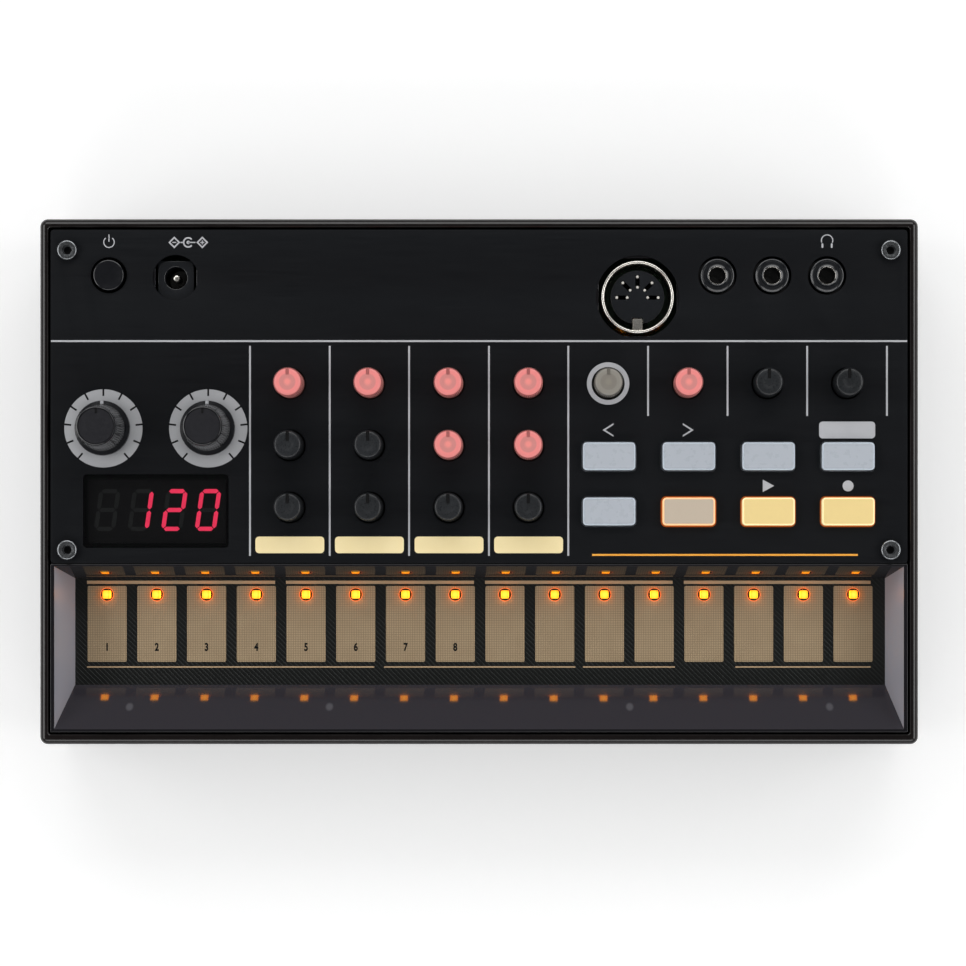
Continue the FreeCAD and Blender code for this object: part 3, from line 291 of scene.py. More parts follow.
def centre(node):
    low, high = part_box(node)
    return ((low.x + high.x) / 2 / MM, (low.y + high.y) / 2 / MM)


def top(node):
    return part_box(node)[1].z / MM


def bottom(node):
    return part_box(node)[0].z / MM


PANEL_TOP = top("front_panel")
print("panel face at", round(PANEL_TOP, 2), "mm")

# %% [markdown]
# ## Finishes
# Each material starts from what the real one is and how its surface was made. The patterns read object
# coordinates, so they stay on a piece as it moves, and their scales come from sizes in millimetres. A
# principled shader carries each of them, with colour, roughness and bump from its own nodes.

# %% Material helper
def surface(name, base, **settings):
    material = bpy.data.materials.new(name)
    material.use_nodes = True
    tree = material.node_tree
    tree.nodes.clear()
    inputs = {"Base Color": colour(base)}
    inputs.update({key.replace("_", " "): value for key, value in settings.items()})
    shader = add(tree, "ShaderNodeBsdfPrincipled", inputs)
    add(tree, "ShaderNodeOutputMaterial", {"Surface": (shader, 0)})
    return material, tree, shader


def ranged(tree, value, start, end, low=0.0, high=1.0):
    # A value from start to end, carried over to low to high and held at both ends.
    return add(tree, "ShaderNodeMapRange", {"Value": value, "From Min": start, "From Max": end,
                                            "To Min": low, "To Max": high}), 0


def mixed(tree, share, first, second):
    # A colour between two, where each is a hex value or the output of another node.
    node = add(tree, "ShaderNodeMix", {"Factor": share}, data_type="RGBA")
    for socket, value in ((6, first), (7, second)):
        if isinstance(value, str):
            node.inputs[socket].default_value = colour(value)
        else:
            tree.links.new(value[0].outputs[value[1]], node.inputs[socket])
    return node, 2


def feed(tree, shader, inputs):
    for name, (node, output) in inputs.items():
        tree.links.new(node.outputs[output], shader.inputs[name])


def place_in_mm(tree, stretch=(1.0, 1.0, 1.0)):
    # Object coordinates in millimetres, so a Scale of 2 draws two features in each millimetre.
    where = add(tree, "ShaderNodeTexCoord")
    return add(tree, "ShaderNodeMapping", {"Vector": (where, "Object"),
                                           "Scale": tuple(s / MM for s in stretch)})


def nearest_axis(tree, where, places):
    # Distance in mm from the nearest of some upright axes, as a node and an output.
    nearest = None
    for x, y in places:
        spot = add(tree, "ShaderNodeVectorMath", {0: (where, 0), 1: (x, y, 0)}, operation="SUBTRACT")
        flat = add(tree, "ShaderNodeVectorMath", {0: (spot, 0), 1: (1, 1, 0)}, operation="MULTIPLY")
        away = add(tree, "ShaderNodeVectorMath", {0: (flat, 0)}, operation="LENGTH")
        nearest = (away, "Value") if nearest is None else (
            add(tree, "ShaderNodeMath", {0: nearest, 1: (away, "Value")}, operation="MINIMUM"), 0)
    return nearest


def grained(name, base, other, grit, bump, rough, stretch=(1.0, 1.0, 1.0), **settings):
    # A surface with a grain of a given size in mm, which varies its colour, roughness and height.
    material, tree, shader = surface(name, base, **settings)
    where = place_in_mm(tree, stretch)
    grain = add(tree, "ShaderNodeTexNoise", {"Vector": (where, 0), "Scale": 1 / grit, "Detail": 3.0,
                                             "Roughness": 0.6})
    cloud = add(tree, "ShaderNodeTexNoise", {"Vector": (where, 0), "Scale": 1 / (grit * 24), "Detail": 2.0})
    both = add(tree, "ShaderNodeMath", {0: (grain, "Fac"), 1: 0.5, 2: (cloud, "Fac")},
               operation="MULTIPLY_ADD")
    tint = mixed(tree, ranged(tree, (both, 0), 0.45, 1.05), base, other)
    gloss = ranged(tree, (grain, "Fac"), 0.3, 0.7, *rough)
    relief = add(tree, "ShaderNodeBump", {"Height": (grain, "Fac"), "Distance": bump * MM, "Strength": 1.0})
    feed(tree, shader, {"Base Color": tint, "Roughness": gloss, "Normal": (relief, 0)})
    return material


print("material helpers ready")

# %% [markdown]
# ## Black plastics, metals and rubber
# The case is moulded ABS with a polished tool, so its rim is glossy with a slight waviness. The panel is
# painted sheet metal whose brushing still shows as faint lines from left to right. Knobs are glass
# filled nylon, a little rougher. Metals keep the default index of refraction.

# %% Plain finishes
case_abs = grained("polished_black_abs", "#0c0909", "#15100f", 0.9, 0.004, (0.12, 0.2))
case_under = grained("spark_textured_black_abs", "#1a1819", "#262324", 0.45, 0.03, (0.45, 0.65))
panel_paint = grained("satin_paint_on_brushed_steel", "#0c0d10", "#111316", 0.35, 0.004, (0.42, 0.55),
                      stretch=(0.03, 1.0, 1.0), Specular_IOR_Level=0.15)
knob_black = grained("moulded_black_nylon", "#1c1e20", "#282a2d", 0.35, 0.003, (0.24, 0.36))
knob_gloss = grained("polished_black_nylon", "#101114", "#1a1b1f", 0.8, 0.002, (0.1, 0.18))
socket_black = grained("moulded_black_pbt", "#121417", "#1a1c20", 0.8, 0.001, (0.12, 0.18), Coat_Weight=0.6,
                       Coat_Roughness=0.05)
foot_rubber = grained("moulded_black_rubber", "#161616", "#242424", 0.5, 0.04, (0.7, 0.9))
nickel = grained("bright_nickel_plate", "#eae6de", "#f4f0e8", 2.0, 0.0005, (0.24, 0.3), Metallic=1.0)
tin_plate = grained("matt_tin_plate", "#dedbd4", "#eae7e0", 0.5, 0.001, (0.4, 0.5), Metallic=0.4)
zinc_black = grained("blackened_zinc_plate", "#8a8d90", "#a4a7aa", 0.6, 0.001, (0.2, 0.3), Metallic=1.0)
shaft_metal = grained("turned_aluminium", "#a8aaac", "#c4c6c8", 0.12, 0.004, (0.28, 0.42),
                      stretch=(0.05, 1.0, 1.0), Metallic=1.0)
spring_steel = grained("tinned_spring_steel", "#a9a69e", "#c8c5bd", 0.3, 0.004, (0.25, 0.4), Metallic=1.0)
speaker_steel = grained("pressed_zinced_steel", "#8f9296", "#a9acb0", 0.8, 0.008, (0.3, 0.45), Metallic=1.0)
cone_paper = grained("felted_cone_paper", "#2b2a28", "#3a3835", 0.3, 0.05, (0.85, 0.98))
pot_body = grained("moulded_grey_pot_body", "#3c3e3c", "#4a4c49", 0.4, 0.01, (0.4, 0.6))
silicone = grained("translucent_silicone_rubber", "#a9aeb0", "#bcc1c3", 0.6, 0.01, (0.5, 0.7),
                   Subsurface_Weight=0.3)
display_body = grained("black_display_moulding", "#101112", "#191a1b", 0.5, 0.006, (0.35, 0.5))
knob_insert = grained("satin_black_insert", "#1b1b1f", "#212125", 0.6, 0.001, (0.3, 0.4))
cell_sleeve = grained("printed_cell_sleeve", "#2d4a63", "#3a5a76", 1.2, 0.004, (0.25, 0.4))
print("finishes:", len(bpy.data.materials))

# %% [markdown]
# ## Smoked polycarbonate
# The cover is transparent plastic with a dark dye, moulded smooth, so it mirrors the pads and lamps in
# its sloping walls. The steep end walls catch light that travels inside the plastic, and here a paler
# colour stands for it. The four posts behind the front slope show through as faint round marks. Object
# coordinates place the marks, and the flat direction of each face tells the walls apart. The slope is
# taken as slightly hollow along its length, so each lamp's mirror image lies in line with its lamp, as in
# the photograph. The back wall keeps its rounded shading, which draws its mirror images together.

# %% Smoked cover
# Painted light: the steep end walls get this pale grey for the light they catch inside the plastic.
END_WALL_PAINTED_LIGHT = "#9c9ca5"
# Painted light: the front slope gets this colour, lighter than the dye, for the light it catches.
SLOPE_PAINTED_LIGHT = "#333137"
HOLLOW_PER_MM = 0.001
HOLLOW_MIDDLE = 23.0
COVER_RIM = 0.6
SLOPE_DEPTH = 9.4
POST_X = (-77.4, -33.2, 33.2, 77.4)


def smoked_cover_material(post_places):
    material, tree, shader = surface("smoked_polycarbonate", "#141317", IOR=1.58)
    where = place_in_mm(tree)
    facing = add(tree, "ShaderNodeNewGeometry")
    parts = add(tree, "ShaderNodeSeparateXYZ", {0: (facing, "True Normal")})
    leaning = add(tree, "ShaderNodeMath", {0: (parts, "Z"), 1: 0.05}, operation="GREATER_THAN")

    def wall(value, start, end):
        # 1 on the walls that lean back from the tray and face the given way.
        return add(tree, "ShaderNodeMath", {0: ranged(tree, value, start, end), 1: (leaning, 0)},
                   operation="MULTIPLY"), 0

    steep = add(tree, "ShaderNodeMath", {0: (parts, "X")}, operation="ABSOLUTE")
    end_wall = wall((steep, 0), 0.85, 0.95)
    slope = wall((parts, "Y"), 0.5, 0.7)
    back = add(tree, "ShaderNodeMath", {0: (parts, "Y"), 1: -0.5}, operation="LESS_THAN")
    flat = add(tree, "ShaderNodeMix", {0: (back, 0), 4: (facing, "True Normal"), 5: (facing, "Normal")},
               data_type="VECTOR")
    along = add(tree, "ShaderNodeSeparateXYZ", {0: (where, 0)})
    hollow = add(tree, "ShaderNodeMath", {0: (along, "X"), 1: -HOLLOW_PER_MM,
                                          2: HOLLOW_PER_MM * HOLLOW_MIDDLE}, operation="MULTIPLY_ADD")
    hollow = add(tree, "ShaderNodeMath", {0: (hollow, 0), 1: slope}, operation="MULTIPLY")
    lean = add(tree, "ShaderNodeCombineXYZ", {"X": (hollow, 0)})
    bent = add(tree, "ShaderNodeVectorMath", {0: (flat, 1), 1: (lean, 0)}, operation="ADD")
    bent = add(tree, "ShaderNodeVectorMath", {0: (bent, 0)}, operation="NORMALIZE")
    marks = ranged(tree, nearest_axis(tree, where, post_places), 0.5, 1.0, 0.25, 0.0)
    shown = add(tree, "ShaderNodeMath", {0: marks, 1: slope}, operation="MULTIPLY")
    # The slope and the steep end walls get their painted light here, picked by the direction of each face.
    dye_and_slope_light = mixed(tree, slope, "#131216", SLOPE_PAINTED_LIGHT)
    pale = mixed(tree, end_wall, dye_and_slope_light, END_WALL_PAINTED_LIGHT)
    flow = add(tree, "ShaderNodeTexNoise", {"Vector": (where, 0), "Scale": 1 / 14.0, "Detail": 2.0})
    relief = add(tree, "ShaderNodeBump", {"Height": (flow, "Fac"), "Distance": 0.01 * MM,
                                          "Normal": (bent, 0)})
    feed(tree, shader, {"Base Color": mixed(tree, (shown, 0), pale, "#8f8f96"),
                        "Roughness": ranged(tree, end_wall, 0.0, 1.0, 0.06, 0.35), "Normal": (relief, 0)})
    return material


post_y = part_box("smoke_cover")[0].y / MM + COVER_RIM + SLOPE_DEPTH / 2
smoked_cover = smoked_cover_material([(x, post_y) for x in POST_X])
print("posts behind the slope at y =", round(post_y, 2))

# %% [markdown]
# ## Touch board and its gold pads
# The board is glass fibre laminate under a near black solder mask. Under the mask the copper is etched
# into a slanted hatch, which shows as thin ridges. The pads are bare copper with immersion gold, divided
# by a fine square grid. That grid is about 0.5 mm on the board, wide enough to draw at its own size.

# %% Board and pad finishes
def stripes(tree, value, pitch, low, high):
    # 1 in the gap between two stripes and 0 on a stripe, for a coordinate in mm.
    folded = add(tree, "ShaderNodeMath", {0: value, 1: pitch}, operation="PINGPONG")
    return ranged(tree, (folded, 0), low, high)


def touch_board_material():
    material, tree, shader = surface("black_solder_mask", "#0d0f0e", Roughness=0.32)
    axes = add(tree, "ShaderNodeSeparateXYZ", {0: (place_in_mm(tree), 0)})
    slant = add(tree, "ShaderNodeMath", {0: (axes, "X"), 1: (axes, "Y")})
    hatch = stripes(tree, (slant, 0), 0.55, 0.08, 0.16)
    relief = add(tree, "ShaderNodeBump", {"Height": hatch, "Distance": 0.03 * MM}, invert=True)
    feed(tree, shader, {"Base Color": mixed(tree, hatch, "#181c1a", "#090b0a"), "Normal": (relief, 0)})
    return material


def gold_pad_material():
    material, tree, shader = surface("immersion_gold_pad", "#9e876a", Roughness=0.5, Metallic=0.15)
    where = place_in_mm(tree)
    axes = add(tree, "ShaderNodeSeparateXYZ", {0: (where, 0)})
    lines = add(tree, "ShaderNodeMath", {0: stripes(tree, (axes, "X"), 0.26, 0.02, 0.1),
                                         1: stripes(tree, (axes, "Y"), 0.26, 0.02, 0.1)}, operation="MINIMUM")
    cloud = add(tree, "ShaderNodeTexNoise", {"Vector": (where, 0), "Scale": 1 / 5.0, "Detail": 3.0})
    tarnish = mixed(tree, (cloud, "Fac"), "#9e876a", "#b29c7d")
    relief = add(tree, "ShaderNodeBump", {"Height": (lines, 0), "Distance": 0.012 * MM})
    feed(tree, shader, {"Base Color": mixed(tree, (lines, 0), "#857459", tarnish), "Normal": (relief, 0)})
    return material


def main_board_material():
    material, tree, shader = surface("green_solder_mask", "#12351f", Roughness=0.35)
    cells = add(tree, "ShaderNodeTexVoronoi", {"Vector": (place_in_mm(tree), 0), "Scale": 1 / 3.0},
                distance="MANHATTAN")
    tracks = ranged(tree, (cells, "Distance"), 0.35, 0.4)
    relief = add(tree, "ShaderNodeBump", {"Height": tracks, "Distance": 0.03 * MM})
    feed(tree, shader, {"Base Color": mixed(tree, tracks, "#12351f", "#1d4a2c"), "Normal": (relief, 0)})
    return material


touch_board_mask = touch_board_material()
gold_pad = gold_pad_material()
main_board_mask = main_board_material()
print("board finishes:", touch_board_mask.name, gold_pad.name, main_board_mask.name)

# %% [markdown]
# ## Screen printed inks
# The panel's marks are screen printed, a few hundredths of a millimetre thick. Ink is matt and slightly
# uneven, so each ink has a fine mottling of about a quarter of a millimetre.

# %% Inks
ink_grey = grained("grey_screen_ink", "#acadb1", "#b8b9bd", 0.25, 0.002, (0.55, 0.7))
ink_ring = grained("silver_grey_screen_ink", "#a3a4a7", "#acadb0", 0.25, 0.002, (0.5, 0.62))
ink_cream = grained("cream_screen_ink", "#f3dfa8", "#f9e7b4", 0.25, 0.002, (0.55, 0.7))
ink_orange = grained("orange_screen_ink", "#f0a030", "#f8ae40", 0.25, 0.002, (0.55, 0.7))
ink_gold = grained("gold_board_legend", "#ac9171", "#b89c7a", 0.25, 0.002, (0.55, 0.7))
# This black serves the print, and also as painted shade in the knob slots and at the floors of the screw
# sockets.
black_ink_and_shade = grained("black_screen_ink_and_painted_shade", "#050506", "#0b0b0c", 0.25, 0.002, (0.7, 0.85),
                    Specular_IOR_Level=0.2)
print("inks ready")

# %% [markdown]
# ## Things that shine by themselves
# Lit knobs and buttons are clear plastic over a lamp, so each is given its own light with the brighter
# middle and darker flank that the real ones show. The clear knob that is off has the same rings and next
# to no light. The lamps on the touch board are amber chips, yellow white in the middle. Seen from above
# they stay near strength 1, where a colour renders as it is written, and their clear flanks are far
# brighter, because that is the side that the walls of the tray mirror.

# %% Lit finishes
FLANK_LIGHT = 9.0
CHIP_LIGHT = 1.35


def clouded_light(tree, where, grit, strength, change):
    # A strength that varies by a small share, in clouds of a given size in mm.
    cloud = add(tree, "ShaderNodeTexNoise", {"Vector": (where, 0), "Scale": 1 / grit, "Detail": 2.0})
    return ranged(tree, (cloud, "Fac"), 0.3, 0.7, strength * (1 - change), strength * (1 + change))


def lit_plastic(name, core, disc, body, groove_shade, rim, places, strength):
    # Colour by distance from each knob's axis: core, disc and face, then a painted shade in the groove
    # round the grip and a painted highlight on the rib crests.
    material, tree, shader = surface(name, body, Roughness=0.22, IOR=1.5, Coat_Weight=0.25,
                                     Coat_Roughness=0.12)
    where = place_in_mm(tree)
    share = add(tree, "ShaderNodeMath", {0: nearest_axis(tree, where, places), 1: 3.3}, operation="DIVIDE")
    ramp = add(tree, "ShaderNodeValToRGB", {"Fac": (share, 0)})
    stops = ramp.color_ramp.elements
    stops[0].position, stops[0].color = 0.12, colour(core)
    stops[1].position, stops[1].color = 0.30, colour(disc)
    for position, code in ((0.50, disc), (0.58, body), (0.89, body), (0.912, groove_shade), (0.945, rim)):
        stop = stops.new(position)
        stop.color = colour(code)
    feed(tree, shader, {"Base Color": (ramp, "Color"), "Emission Color": (ramp, "Color"),
                        "Emission Strength": clouded_light(tree, where, 0.8, strength, 0.1)})
    return material


def lamp_chip(places):
    material, tree, shader = surface("amber_lamp_chip", "#ffb020", Roughness=0.3)
    ramp = add(tree, "ShaderNodeValToRGB", {"Fac": nearest_axis(tree, place_in_mm(tree), places)})
    stops = ramp.color_ramp.elements
    stops[0].position, stops[0].color = 0.3, colour("#ffc640")
    stops[1].position, stops[1].color = 1.0, colour("#f0820c")
    facing = add(tree, "ShaderNodeNewGeometry")
    up = add(tree, "ShaderNodeSeparateXYZ", {0: (facing, "Normal")})
    feed(tree, shader, {"Emission Strength": ranged(tree, (up, "Z"), 0.0, 1.0, FLANK_LIGHT, CHIP_LIGHT),
                        "Emission Color": (ramp, "Color")})
    return material


def steady_glow(name, code, strength, **settings):
    # An even light whose plastic has a faint clouding of about a millimetre.
    material, tree, shader = surface(name, code, **settings)
    shader.inputs["Emission Color"].default_value = colour(code)
    feed(tree, shader, {"Emission Strength": clouded_light(tree, place_in_mm(tree), 1.0, strength, 0.08)})
    return material


LIT = ["kick_1", "snare_1", "tom_1", "hat_1", "tom_2", "hat_2", "tempo"]
CLEAR = ["pitch"]
SMALL = ["kick_1", "snare_1", "tom_1", "hat_1", "kick_2", "snare_2", "tom_2", "hat_2",
         "kick_3", "snare_3", "tom_3", "hat_3", "pitch", "tempo", "volume", "swing"]
LARGE = ["echo_rate", "echo_depth"]
BUTTONS = ["part_down", "part_up", "play", "record", "memory", "step", "loop", "shift"]
# The last two colours of each knob are a painted shade for the groove between the ribs and a painted
# highlight for the rib crests.
lit_knob = lit_plastic("red_lit_clear_knob", "#ea8f88", "#cf8682", "#e98986", "#7c3c3e", "#f2a59e",
                       [centre(f"{name}_knob") for name in LIT], 0.08)
clear_knob = lit_plastic("unlit_clear_knob", "#888379", "#827d75", "#8b877f", "#3e3b37", "#9b978f",
                         [centre(f"{name}_knob") for name in CLEAR], 0.02)
lit_button = steady_glow("lit_button_cap", "#e9d090", 0.1, Roughness=0.3)
lit_edge = steady_glow("bright_edge_of_lit_cap", "#ffe6b0", 0.3, Roughness=0.3)
warm_button = steady_glow("half_lit_button_cap", "#c2b4a2", 0.05, Roughness=0.3)
warm_edge = steady_glow("bright_edge_of_half_lit_cap", "#ffc894", 0.35, Roughness=0.3)
dull_button = grained("unlit_button_resin", "#b0b6be", "#b4bac2", 1.6, 0.0005, (0.25, 0.33))
# Painted highlight: the edge ring of an unlit cap is paler than its face, for the light on its rounded edge.
dull_edge_highlight = grained("painted_highlight_on_unlit_cap_edge", "#c0cad4", "#c6d0da", 1.6, 0.0005, (0.25, 0.33))
button_glow = steady_glow("orange_light_round_button", "#c8641a", 0.4, Roughness=0.5)
lamp_ring = steady_glow("amber_light_in_laminate", "#c8794a", 0.4, Roughness=0.4)
segment_on = steady_glow("red_display_segment", "#ff3c62", 1.45, Roughness=0.4)
segment_off = grained("unlit_display_segment", "#383b3a", "#3e4140", 0.8, 0.0005, (0.45, 0.55))
red_slot = steady_glow("shaded_slot_of_lit_knob", "#a8625f", 0.05, Roughness=0.4)
grey_slot = grained("shaded_slot_of_clear_knob", "#6a665e", "#706c64", 0.3, 0.001, (0.3, 0.45))
print("lit finishes ready")

# %% [markdown]
# ## Finishes for the solids that stay
# Most hidden and flat pieces already have the right shape. They keep their solids, and only the material
# of each object changes. The lamps stand in a row at even steps, and their places are worked out here,
# because the amber finish is drawn round each lamp's own middle.

# %% Finish the kept solids
def finish_node(node, material):
    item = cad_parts[node]
    item.data.materials.clear()
    item.data.materials.append(material)


KEPT = {
    "bottom_case": case_under, "battery_door": case_under, "case_screws": zinc_black,
    "rubber_feet": foot_rubber, "touch_board": touch_board_mask, "main_board": main_board_mask,
    "small_pots": pot_body, "large_pots": pot_body, "keypad_mat": silicone,
    "display_module": display_body, "power_switch": pot_body, "battery_cells": cell_sleeve,
    "battery_contacts": spring_steel, "speaker_frame": speaker_steel, "speaker_cone": cone_paper,
    "speaker_magnet": zinc_black, "echo_rate_shaft": shaft_metal, "echo_depth_shaft": shaft_metal,
}
for node, material in KEPT.items():
    finish_node(node, material)
led_low, led_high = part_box("pad_leds")
LAMP_Y = (led_low.y + led_high.y) / 2 / MM
LAMP_SIDE = (led_high.y - led_low.y) / MM
LAMP_ENDS = led_low.x / MM + LAMP_SIDE / 2, led_high.x / MM - LAMP_SIDE / 2
PAD_COUNT = 16
LAMP_PITCH = (LAMP_ENDS[1] - LAMP_ENDS[0]) / (PAD_COUNT - 1)
lamps = [(LAMP_ENDS[0] + LAMP_PITCH * i, LAMP_Y) for i in range(PAD_COUNT)]
lamp_amber = lamp_chip(lamps)
finish_node("control_leds", lamp_amber)
print("kept solids:", len(KEPT) + 1, "lamps at y =", round(LAMP_Y, 2))

# %% [markdown]
# ## A solid with broken edges
# No moulded edge is perfectly sharp: a radius of a tenth or two catches the light as a thin line. A copy
# of the solid is merged, its flat faces are joined, and its edges get that radius. The copy then stands
# for the solid.

# %% Break the edges of a solid
EDGE_RADIUS = 0.12


def softened(node):
    bm = bmesh.new()
    bm.from_mesh(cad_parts[node].data)
    bmesh.ops.remove_doubles(bm, verts=bm.verts, dist=2e-6)
    bmesh.ops.dissolve_limit(bm, angle_limit=math.radians(1), verts=bm.verts, edges=bm.edges)
    sharp = [edge for edge in bm.edges if len(edge.link_faces) == 2
             and edge.calc_face_angle(0) > math.radians(30)]
    bmesh.ops.bevel(bm, geom=sharp, offset=EDGE_RADIUS * MM, segments=2, affect="EDGES", profile=0.5,
                    clamp_overlap=True, harden_normals=False)
    bmesh.ops.triangulate(bm, faces=bm.faces)
    return mesh_of(bm, node, smooth=25)


piece("smoke_cover_moulding", softened("smoke_cover"), "chassis", smoked_cover,
      ["smoke_cover"])
piece("dc_socket_moulding", softened("dc_socket"), "chassis", socket_black,
      ["dc_socket"])
print("cover bevelled")

# %% [markdown]
# ## Rounded rim of the case
# The upper case is a frame with a full rounded lip, and that lip's light line frames the whole picture. A
# profile is carried round a rounded rectangle: each step of the profile is one closed ring of points, and
# neighbouring rings are joined.

# %% Upper case
def ring_frame(name, rings):
    bm = bmesh.new()
    made = [[bm.verts.new((x * MM, y * MM, z * MM)) for x, y in loop] for loop, z in rings]
    for low, high in zip(made, made[1:] + made[:1]):
        for i in range(len(low)):
            bm.faces.new((low[i - 1], low[i], high[i], high[i - 1]))
    return mesh_of(bm, name, smooth=40)


case_low, case_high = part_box("top_case")
inner_low, inner_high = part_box("smoke_cover")
SPLIT, RIM = case_low.z / MM, case_high.z / MM
WIDTH, DEPTH = (case_high.x - case_low.x) / MM, (case_high.y - case_low.y) / MM
GAP = 0.55
inner = ((inner_low.x + inner_high.x) / 2 / MM, (inner_low.y + inner_high.y) / 2 / MM,
         (inner_high.x - inner_low.x) / MM + 2 * GAP, (inner_high.y - inner_low.y) / MM + 2 * GAP)
LIP, CORNER = 1.5, 1.7
rings = [(corner_loop((0, 0), WIDTH, DEPTH, CORNER), SPLIT)]
for step in range(9):
    angle = math.pi / 2 * step / 8
    inset = LIP * (1 - math.cos(angle))
    rings.append((corner_loop((0, 0), WIDTH - 2 * inset, DEPTH - 2 * inset, CORNER - inset * 0.95),
                  RIM - LIP * (1 - math.sin(angle))))
for inset, z in ((-0.15, RIM), (0.0, RIM - 0.15), (0.0, SPLIT)):
    rings.append((corner_loop(inner[:2], inner[2] - 2 * inset, inner[3] - 2 * inset, 0.5), z))
piece("upper_case_rim", ring_frame("upper_case_rim", rings), "chassis", case_abs, ["top_case"])
print("rim", round(WIDTH, 1), "by", round(DEPTH, 1))

# %% [markdown]
# ## Printed front panel
# The real panel is one punched sheet. Its outline and all its openings are filled in one go and drawn
# 1 mm thick, with a fine broken edge that shows as the light line round the panel and round each hole.
# The place of each hole comes from the piece that sits in it.

# %% Front panel
HOLE_RADIUS = {"small knob": 3.5, "large knob": 3.85, "jack": 4.25, "screw": 1.6, "power": 3.95,
               "inlet": 5.0, "din": 9.1}
BUTTON_HOLE = (12.2, 6.75, 1.2)
WINDOW_HOLE = (31.9, 16.1, 0.8)
CAP_SHIFT = 0.2
JACK_BODY = 9.0


def cap_place(name):
    # The caps stand a little right of and behind the middles of their columns and rows.
    x, y = centre(f"{name}_button")
    return (x + CAP_SHIFT, y + CAP_SHIFT)


panel_low, panel_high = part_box("front_panel")
panel_centre = centre("front_panel")
panel_size = ((panel_high.x - panel_low.x) / MM, (panel_high.y - panel_low.y) / MM)
jack_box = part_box("sync_jacks")
headphone = centre("headphone_jack")
JACKS = [(jack_box[0].x / MM + JACK_BODY / 2, headphone[1]),
         (jack_box[1].x / MM - JACK_BODY / 2, headphone[1]), headphone]
DIN, DC = centre("din_shell"), centre("dc_pin")
POWER, WINDOW = centre("power_button"), centre("display_window")
SCREWS = [(sign * (panel_size[0] / 2 - 3.75), y)
          for y in (panel_low.y / MM + 2.9, panel_high.y / MM - 4.55) for sign in (-1, 1)]
holes = [corner_loop(panel_centre, *panel_size, 0.8)]
holes += [round_loop(centre(f"{name}_knob"), HOLE_RADIUS["small knob"]) for name in SMALL]
holes += [round_loop(centre(f"{name}_knob"), HOLE_RADIUS["large knob"]) for name in LARGE]
holes += [round_loop(place, HOLE_RADIUS["jack"]) for place in JACKS]
holes += [round_loop(place, HOLE_RADIUS["screw"], 24) for place in SCREWS]
holes += [round_loop(POWER, HOLE_RADIUS["power"]), round_loop(DC, HOLE_RADIUS["inlet"]),
          round_loop(DIN, HOLE_RADIUS["din"], 72)]
holes += [corner_loop(cap_place(name), *BUTTON_HOLE) for name in BUTTONS]
holes.append(corner_loop(WINDOW, *WINDOW_HOLE))
piece("printed_panel_sheet", plate("printed_panel_sheet", [holes], panel_low.z / MM, PANEL_TOP, 0.1),
      "chassis", panel_paint, ["front_panel"])
print("openings in the panel:", len(holes) - 1)

# %% [markdown]
# ## Printed lines, bars and signs
# The screen print is drawn as plates 0.03 mm thick on the panel. Only generic signs are printed: the
# lines between the columns, the bars, arrows, play and record signs, and the signs for power, polarity
# and headphones.

# %% Print on the panel
INK = 0.03
LINE = 0.4
FINE_LINE = 0.22
LINE_TOP = 29.75
LONG_LINES_X = (-50.24, -32.75, -15.34, 2.18, 19.58)
SHORT_LINES_X = (37.08, 54.52, 71.98, 89.48)
CREAM_BARS_X = (-41.5, -24.04, -6.58, 10.88)
SIGN_Y = 52.45


def printed(name, shapes, material):
    piece(name, plate(name, shapes, PANEL_TOP, PANEL_TOP + INK), "chassis", material)


lines = [[bar_loop((-93.9, 30.8), (93.9, 30.8), LINE)]]
for columns, foot in ((LONG_LINES_X, -16.3), (SHORT_LINES_X, 14.4)):
    lines += [[bar_loop((x, foot), (x, LINE_TOP), LINE)] for x in columns]
printed("column_lines", lines, ink_grey)
bars = [[corner_loop((x, -13.9), 15.1, 3.65, 0.8)] for x in CREAM_BARS_X]
printed("cream_bars", bars, ink_cream)
printed("grey_bar", [[corner_loop((80.75, 11.3), 12.3, 3.7, 0.8)]], ink_grey)
printed("orange_line", [[bar_loop((24.8, -16.1), (83.1, -16.1), 0.42)]], ink_orange)
clear_place = centre("pitch_knob")
printed("ring_round_clear_knob", [[round_loop(clear_place, 4.65, 72), round_loop(clear_place, 3.62, 72)]],
        ink_grey)


def arc_loop(place, radius, width, start, end, steps=40):
    angles = [math.radians(start + (end - start) * i / steps) for i in range(steps + 1)]
    loop = []
    for reach, order in ((radius + width / 2, angles), (radius - width / 2, reversed(angles))):
        loop += [(place[0] + reach * math.cos(a), place[1] + reach * math.sin(a)) for a in order]
    return loop


def chevron(tip, way):
    x, y = tip
    half, reach, thick = 1.35, 2.4 * way, 0.3 * way
    return [(x, y), (x + reach, y + half + 0.15), (x + reach, y + half - 0.22), (x + 2.1 * thick, y),
            (x + reach, y - half + 0.22), (x + reach, y - half - 0.15)]


signs = [[chevron((27.1, 11.3), 1)], [chevron((47.1, 11.3), -1)],
         [[(62.25, -2.3), (64.75, -0.95), (62.25, 0.4)]], [round_loop((80.96, -0.97), 1.2, 40)]]
power_sign = (-81.17, 52.5)
signs += [[arc_loop(power_sign, 1.15, FINE_LINE, 128, 412)],
          [bar_loop((power_sign[0], power_sign[1] + 0.1), (power_sign[0], power_sign[1] + 1.7), FINE_LINE)]]
for x, sign in ((-66.85, "minus"), (-60.7, "plus")):
    signs.append([[(x - reach, SIGN_Y), (x, SIGN_Y - reach), (x + reach, SIGN_Y), (x, SIGN_Y + reach)]
                  for reach in (1.3, 0.85)])
    signs.append([bar_loop((x - 0.42, SIGN_Y), (x + 0.42, SIGN_Y), FINE_LINE)])
    if sign == "plus":
        for way in (1, -1):
            signs.append([bar_loop((x, SIGN_Y + way * 0.12), (x, SIGN_Y + way * 0.44), FINE_LINE)])
